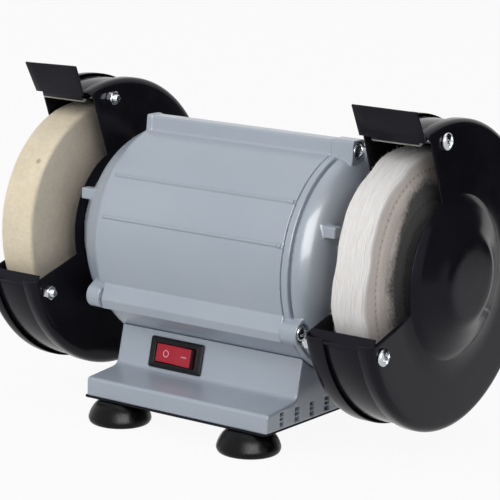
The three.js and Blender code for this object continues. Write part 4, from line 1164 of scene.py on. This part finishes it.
# How much the plies fray, the tread's least drop, its drop at the edges and how far that
# reaches, and the roughness of tread and sides
FRAY, LEAST_DROP, EDGE_DROP, EDGE_REACH, TREAD_ROUGH, SIDE_ROUGH = 0.175, 0.25, 1.6, 0.9, (0.15, 0.3), 0.12


def edge_wave(a):
    """How far the outer plies lean sideways, all round the wheel."""
    return sum(size * np.sin(count * a + start) for count, start, size in WAVES)


def cloth_wheel():
    low, high = CLOTH
    segments = 384
    sides = [(0, r) for r in np.arange(8, 72.6, 0.95)]
    ply = (high - low) / PLIES
    tread = [(low + ply * (p + s), WHEEL - d) for p in range(PLIES) for s, d in PLY_EDGE]
    outline = about((low, 0), (0, WHEEL_BORE), *sides) + tread
    outline += about((high, 0), *sides[::-1], (0, WHEEL_BORE))
    lean = RANDOM.uniform(0, 2 * math.pi, PLIES + 1)
    count = RANDOM.integers(4, 11, PLIES + 1)
    rough = grain(len(outline), segments, 2)

    def reshape(x, r, a):
        outward = np.where(x < (low + high) / 2, -1, 1)
        inner = r - STITCH_SWAY * np.sin(STITCH_WAVES * a)
        pucker = np.zeros(np.broadcast(x, a).shape)
        for place, stitches in STITCH_RINGS:
            depth = PUCKER if stitches else RING_PUCKER
            pucker += depth * np.exp(-((inner - place) / PUCKER_WIDTH) ** 2)
            if stitches:
                beat = np.clip(np.cos(stitches * a), 0, 1) ** 2
                pucker += STITCH_PUCKER * np.exp(-((inner - place) / STITCH_WIDTH) ** 2) * beat
        belly = BELLY * np.sin(np.clip((r - BELLY_SPAN[0]) / BELLY_SPAN[1], 0, 1) * math.pi)
        side = (r < WHEEL - 1) & ((x < low + 0.01) | (x > high - 0.01))
        loose = np.clip((r - LOOSE_SPAN[0]) / LOOSE_SPAN[1], 0, 1) ** 2
        index = np.clip(((x - low) / ply).astype(int), 0, PLIES)
        frayed = FRAY * np.sin(count[index] * a + lean[index]) + LEAST_DROP
        end = np.minimum(x - low, high - x)
        drop = frayed + EDGE_DROP * np.exp(-end / EDGE_REACH) + TREAD_ROUGH[0] * rough
        bulge = outward * np.where(side, belly - pucker + SIDE_ROUGH * rough, TREAD_ROUGH[1] * rough)
        new_x = x + bulge + edge_wave(a) * loose * WAVE_SIZE
        drop = np.where(side, 0, drop)
        return new_x, np.minimum(r - drop, WHEEL)

    turned("cloth_wheel_stitched", outline, "cloth", "arbor", "cloth_wheel", segments, 0, reshape=reshape)


# The lint's number of threads, the radius of their roots, and their thickness at root and middle
LINT, LINT_ROOT, LINT_THICK = 1300, 73.6, ((0, 0.09), (0.55, 0.07))
LINT_FACES = [f for k, wall in enumerate(walls(3)) for f in (wall, (3 + k, 3 + (k + 1) % 3, 6))]
LINT_FACES.append((2, 1, 0))


def lint():
    """Loose threads along the cloth wheel's tread."""
    low, high = CLOTH
    threads = []
    for _ in range(LINT):
        angle = RANDOM.uniform(0, 2 * math.pi)
        at_edge = RANDOM.random() < 0.6
        edge = RANDOM.choice((low + 0.6, high - 0.6)) if at_edge else RANDOM.uniform(low, high)
        y, z = -math.sin(angle), math.cos(angle)
        root = Vector((edge + edge_wave(angle) * WAVE_SIZE, LINT_ROOT * y, LINT_ROOT * z))
        out = Vector((RANDOM.normal() * 0.7, y, z))
        along = Vector((0, -z, y)) * RANDOM.normal() * 0.9
        way = (out + along).normalized()
        length = RANDOM.uniform(0.8, 2.6)
        bend = Vector(RANDOM.normal(size=3)) * 0.35
        shaded_side = way.orthogonal().normalized()
        other = way.cross(shaded_side)
        points = []
        for share, thick in LINT_THICK:
            middle = root + way * length * share + bend * share * share
            for k in range(3):
                turn = 2 * math.pi * k / 3
                points.append(tuple(middle + (shaded_side * math.cos(turn) + other * math.sin(turn)) * thick))
        points.append(tuple(root + way * length + bend))
        threads.append((points, LINT_FACES))
    piece("cloth_wheel_lint", *together(threads), "cloth", "arbor", [], crease=0)


felt_wheel()
cloth_wheel()
lint()


# The flanges' radii, the thickness of their plates, and each one's start, depth and the way its
# gripping face looks along its half of the shaft
FLANGE, FLANGE_RECESS, FLANGE_HUB, ARBOR_HOLE, FLANGE_PLATE = 22, 13, 12, 6.65, 2.4
FLANGES = {"left_inner": (104.6, 12.6, 1), "left_outer": (142.8, FLANGE_PLATE, -1),
           "right_inner": (104.6, FLANGE_PLATE, 1), "right_outer": (130.4, 12.6, -1)}
ARBOR_NUT_START = {"left": 145.5, "right": 143.3}

# The shaft's radii, and where its body and journal end and its thread starts
SHAFT_BODY, JOURNAL, ARBOR = 9.0, 7.5, 6.35
SHAFT_MIDDLE, SHAFT_STEP, SHOULDER, THREAD_START, THREAD_PITCH = 28.3, 82.3, 104.3, 134, 1.4


def wheel_flange(name, start, depth, facing, side):
    """A dished washer that grips the wheel on its rim."""
    face, hub = (start + depth, start) if facing > 0 else (start, start + depth)
    back = face - facing * FLANGE_PLATE
    dish = face - facing * 1.2
    outline = [(dish, ARBOR_HOLE), (dish, FLANGE_RECESS), (face, FLANGE_RECESS + 1.2), (face, FLANGE),
               (back, FLANGE)]
    if depth > FLANGE_PLATE:
        outline += [(back, FLANGE_HUB), (hub, FLANGE_HUB), (hub, ARBOR_HOLE)]
    else:
        outline += [(back, ARBOR_HOLE)]
    turned(f"{name}_turned", soften(outline, 0.45, 3), "steel", "arbor", name, 120, 40, side=side)


def drive():
    for place, sizes in FLANGES.items():
        wheel_flange(f"flange_{place}", *sizes, SIDES[place.split("_")[0]])
    for hand, side in SIDES.items():
        hex_nut(f"arbor_nut_{hand}", "arbor", side, (0, 0), ARBOR_NUT_START[hand], ARBOR_NUT)
    half = [(SHAFT_MIDDLE, SHAFT_BODY), (82.0, SHAFT_BODY), (SHAFT_STEP, JOURNAL),
            (SHOULDER - 0.3, JOURNAL), (SHOULDER, JOURNAL - 0.3), (SHOULDER, ARBOR), (THREAD_START, ARBOR)]
    half += [(x, ARBOR) for x in np.arange(THREAD_START, SHAFT_END - 1.2, THREAD_PITCH / 5)]
    half += [(SHAFT_END, ARBOR - 1), (SHAFT_END, 0)]

    def reshape(x, r, a):
        cutting = (np.abs(x) > THREAD_START) & (np.abs(x) < SHAFT_END - 1)
        return x, r - np.where(cutting, helix(x, a, THREAD_PITCH) * 0.7, 0)

    outline = [(-x, r) for x, r in half][::-1] + half
    turned("shaft_ground", outline, "steel", "arbor", "shaft", 72, 35, closed=False, reshape=reshape)


drive()


# Feet

FOOT_SIDE = [(17.4, 0.0), (18.7, 0.9), (19.5, 3.4), (18.4, 7.0), (16.6, 10.2), (14.6, 12.4), (13.2, 13.4)]
FOOT_TOP, FOOT_CUP, STUD, STUD_TOP = 13.8, 2.2, 3, 23.2
FOOT_SOLE = [(0, FOOT_CUP), (10.8, FOOT_CUP), (12.6, 0.6), (13.4, 0), (17.0, 0)]
FOOT_STUD = [(12.4, FOOT_TOP), (STUD, FOOT_TOP), (STUD, STUD_TOP), (0, STUD_TOP)]

# The base plate's ends and half its depth, and its eased edges as inset and height; it sits a
# little to the left, as in the photograph
BASE_ENDS, BASE_DEPTH = (-70.1, 67.4), 78.9
BASE_EDGES = ((0.25, 14.1), (0, 14.35), (0, 15.05), (0.25, 15.3))


def base_plate():
    rings = []
    for inset, height in BASE_EDGES:
        low, high = (BASE_ENDS[0] + inset, inset - BASE_DEPTH), (BASE_ENDS[1] - inset, BASE_DEPTH - inset)
        rings.append([(x, y, height) for x, y in soften(corners(low, high), 2, 5)])
    solid("base_plate_sheet", *loft(rings, True), "guard_paint", "machine", ["base_plate"])


def feet():
    outline = FOOT_SOLE + spline(FOOT_SIDE, 5) + FOOT_STUD
    points, faces = lathe([(z, r) for r, z in outline], 96, False)
    for name in ("foot_front_left", "foot_front_right", "foot_rear_left", "foot_rear_right"):
        placed = upright(points, sum(extent(name, 0)) / 2, sum(extent(name, 1)) / 2 - SETBACK)
        solid(f"{name}_moulded", placed, faces, "foot_rubber", "machine", [name], crease=40)


base_plate()
feet()


# Switch and cord gland, in the plane of the leaning wall

def on_wall(points, place, front):
    """Points with X along the wall, Y up it and Z out of it, put on the front or rear wall."""
    p = np.asarray(points, float)
    sign = -1 if front else 1
    y = wall_at(place[1]) + p[:, 2] * math.cos(LEAN) - p[:, 1] * math.sin(LEAN)
    z = place[1] + p[:, 2] * math.sin(LEAN) + p[:, 1] * math.cos(LEAN)
    return np.stack([place[0] + p[:, 0], sign * y, z], 1)


# Length and width of the switch's parts, and the bezel's section from the window's inner end
# round to it again: each ring's part, how much larger it is, its corners' radius and its level
BEZEL, HOUSING, WINDOW, ROCKER = (40.3, 19.4), (35.0, 13.8), (30.8, 12.2), (30.0, 11.4)
BEZEL_RINGS = ((WINDOW, 0, 0.6, -9.0), (WINDOW, 0, 0.6, 1.9), (WINDOW, 0.5, 0.7, 2.2),
               (WINDOW, 2.0, 1.0, 2.2), (WINDOW, 2.5, 1.1, 1.9), (BEZEL, -1.2, 1.2, 1.6),
               (BEZEL, -0.3, 1.3, 1.2), (BEZEL, 0, 1.3, 0.8), (BEZEL, 0, 1.3, 0.3), (HOUSING, 0, 1.0, 0.3),
               (HOUSING, 0, 1.0, -13.0), (WINDOW, 0, 0.6, -13.0), (WINDOW, 0, 0.6, -9.0))


def switch_bezel():
    """A flange with an eased edge, a raised inner frame, the window and the housing behind it."""
    rings = []
    for size, more, radius, level in BEZEL_RINGS:
        a, b = ((n + more) / 2 for n in size)
        rings.append([(x, y, level) for x, y in soften(corners((-a, -b), (a, b)), radius, 5)])
    points, faces = loft(rings)
    solid("switch_bezel_moulded", on_wall(points, SWITCH_PLACE, True), faces, "black_plastic", "machine",
          ["switch_bezel"])


# The rocker's tilt at rest, the depth and slope of its valley, its pivot's level above the
# wall, and the angles of the points on its round ends
TILT, VALLEY, VALLEY_ANGLE, PIVOT_LEVEL = 8.0, 1.6, 5.0, 0.8
ROCKER_ENDS, ROCKER_EDGE = (-19, -9, 0, 8), 0.35

# The marks: the ring's middle and its radii, the points on it, and the bar's corners
RING_PLACE, RING_RADII, RING_STEPS = -6.6, (2.3, 1.65), 40
BAR_MARK = (6.3, -0.4), (11.3, 0.4)


def rocker_height(u):
    """The rocker's face along its length: two flats that meet in a shallow V."""
    return VALLEY + np.sqrt(u * u + 0.6) * math.tan(math.radians(VALLEY_ANGLE))


def on_rocker(points):
    """Points in the rocker's own axes, tipped to its rest and put in the switch."""
    p = np.asarray(points, float)
    turn = math.radians(TILT)
    x = p[:, 0] * math.cos(turn) - p[:, 2] * math.sin(turn)
    z = p[:, 0] * math.sin(turn) + p[:, 2] * math.cos(turn) + PIVOT_LEVEL
    return on_wall(np.stack([x, p[:, 1], z], 1), SWITCH_PLACE, True)


def switch_rocker():
    """The rocker: a V-shaped face with eased edges, and ends that are arcs about the pivot."""
    half, wide = ROCKER[0] / 2, ROCKER[1] / 2
    turns = [math.radians(a) for a in ROCKER_ENDS]
    end = [(half * math.cos(t), half * math.sin(t)) for t in turns]
    end.append((half - 0.25, rocker_height(half) - ROCKER_EDGE))
    face = [(u, rocker_height(abs(u))) for u in np.linspace(0.7 - half, half - 0.7, 33)[::-1]]
    outline = end + face + [(-u, z) for u, z in end][::-1]
    inner, rings = wide - ROCKER_EDGE, []
    for v, shrink in ((-wide, ROCKER_EDGE), (-inner, 0), (inner, 0), (wide, ROCKER_EDGE)):
        rings.append([(u, v, z - (shrink if z > 0 else 0)) for u, z in outline])
    points, faces = loft(rings, True)
    solid("switch_rocker_moulded", on_rocker(points), faces, "red_plastic", "rocker", ["switch_rocker"])


def switch_marks():
    """The ring for off and the bar for on, printed on the rocker."""
    around = np.linspace(0, 2 * math.pi, RING_STEPS + 1)[:-1]
    ring = [(RING_PLACE + radius * math.cos(t), radius * math.sin(t))
            for radius in RING_RADII for t in around]
    flat, faces = together([(ring, walls(RING_STEPS)), (corners(*BAR_MARK), [(0, 1, 2, 3)])])
    points = on_rocker([(u, v, float(rocker_height(abs(u))) + 0.06) for u, v in flat])
    look = plastic("printed_marks", srgb(226, 150, 168), srgb(232, 160, 176), 0.5)
    made = piece("switch_marks_printed", points, faces, "red_plastic", "rocker", [], BENCH, None, 0, look)
    thick = made.modifiers.new("ink", "SOLIDIFY")
    thick.thickness, thick.offset = 0.08 * MM, 0
    settle(made)


# The gland's section as height over the wall and radius, and the ridges of its cap
GLAND = [(-6.0, 4.3), (-6.0, 6.0), (0.3, 6.0), (0.3, 8.2), (0.6, 8.5), (1.4, 8.5), (1.7, 8.2), (1.9, 7.6),
         (3.2, 7.4), (3.5, 7.0), (3.5, 4.7), (3.2, 4.3)]
RIDGES, RIDGE_DEPTH = 24, 0.25


def cord_gland():
    """A moulded gland with a grooved cap and an open bore; the photograph shows no cord."""
    def reshape(x, r, a):
        ridge = RIDGE_DEPTH * (0.5 + 0.5 * np.cos(RIDGES * a))
        return x, r - np.where((x > 1.8) & (r > 6.5), ridge, 0)

    points, faces = lathe(GLAND, 144, True, reshape)
    placed = on_wall(upright(points), GLAND_PLACE, False)
    solid("cord_gland_moulded", placed, faces, "black_plastic", "machine", ["cord_gland"])


switch_bezel()
switch_rocker()
switch_marks()
cord_gland()


# Carried-over nodes

NODE_SLOTS = (("capacitor", "white_plastic"), ("stator", "laminations"), ("rotor", "laminations"),
              ("winding", "copper"), ("bearing", "steel"), ("saddle_screw", "zinc"))


def dress_nodes():
    """Every node that no piece above stands for takes its slot's material."""
    for name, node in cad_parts.items():
        slot = next((s for start, s in NODE_SLOTS if name.startswith(start)), None)
        if slot:
            node.data.materials.clear()
            node.data.materials.append(LOOKS[slot])


dress_nodes()


# Floor, room and lamps

FLOOR_SIZE, FLOOR_COLOUR, FLOOR_WHITE = 12, (0.6, 0.6, 0.6, 1), 0.93
ROOM_COLOUR, ROOM_LIGHT = (0.96, 0.98, 1.0, 1), 0.42
LAMP_AIM = (0, 0, 0.1)
WHITE = (1, 1, 1, 1)


def floor_look():
    look = Look("floor", Roughness=0.9)
    look.colour(FLOOR_COLOUR)
    white = look.node("ShaderNodeEmission", Color=WHITE, Strength=1.0)
    look.show(look.times(look.seen_rays(), FLOOR_WHITE), look.shader, white, look.out)
    return look.material


def card(name, points, material, unseen=()):
    """A piece of one face, which the named kinds of rays don't see."""
    mesh = bpy.data.meshes.new(name)
    mesh.from_pydata(points, [], [(0, 1, 2, 3)])
    mesh.materials.append(material)
    made = bpy.data.objects.new(name, mesh)
    bpy.context.scene.collection.objects.link(made)
    for ray in unseen:
        setattr(made, f"visible_{ray}", False)


def make_world():
    world = bpy.data.worlds.new("studio")
    nodes = Nodes(world)
    out = nodes.node("ShaderNodeOutputWorld")
    room = nodes.node("ShaderNodeBackground", Color=ROOM_COLOUR, Strength=ROOM_LIGHT)
    white = nodes.node("ShaderNodeBackground", Color=WHITE)
    nodes.show(nodes.seen_rays(), room, white, out)
    bpy.context.scene.world = world


def softbox(name, place, size, power, diffuse=True, glossy=True):
    """A rectangular lamp that looks at the machine."""
    data = bpy.data.lights.new(name, "AREA")
    data.shape = "RECTANGLE"
    data.size, data.size_y = size
    data.energy = power
    lamp = bpy.data.objects.new(name, data)
    lamp.location = place
    lamp.visible_diffuse = diffuse
    lamp.visible_glossy = glossy
    lamp.rotation_euler = (Vector(LAMP_AIM) - Vector(place)).to_track_quat("-Z", "Y").to_euler()
    bpy.context.scene.collection.objects.link(lamp)


def flag(name, start, end, height):
    """A dark card beside the set, which only reflections see, as for photographs of gloss black."""
    look = Look(name, Roughness=1.0, Specular_IOR_Level=0.0)
    look.colour(look.mix(look.noise(200), srgb(14, 14, 16), srgb(20, 20, 22)))
    foot = 0.002
    card(name, [(*start, foot), (*end, foot), (*end, height), (*start, height)], look.material,
         ("camera", "diffuse", "transmission", "shadow", "volume_scatter"))


ground = corners((-FLOOR_SIZE, -FLOOR_SIZE), (FLOOR_SIZE, FLOOR_SIZE))
card("floor", [(x, y, 0) for x, y in ground], floor_look())
make_world()
softbox("key", (-1.1, -2.3, 1.5), (2.2, 2.0), 42, glossy=False)
softbox("right", (1.6, -1.3, 1.5), (1.2, 1.2), 8, glossy=False)
softbox("top", (0.1, 0.2, 2.2), (1.8, 1.4), 6)
softbox("window", (1.1, -1.05, 0.8), (1.35, 1.2), 52, diffuse=False)
flag("flag_back_right", (0.27, 0.66), (0.884, 0.13), 1.5)

bpy.context.scene.view_settings.view_transform = "Standard"
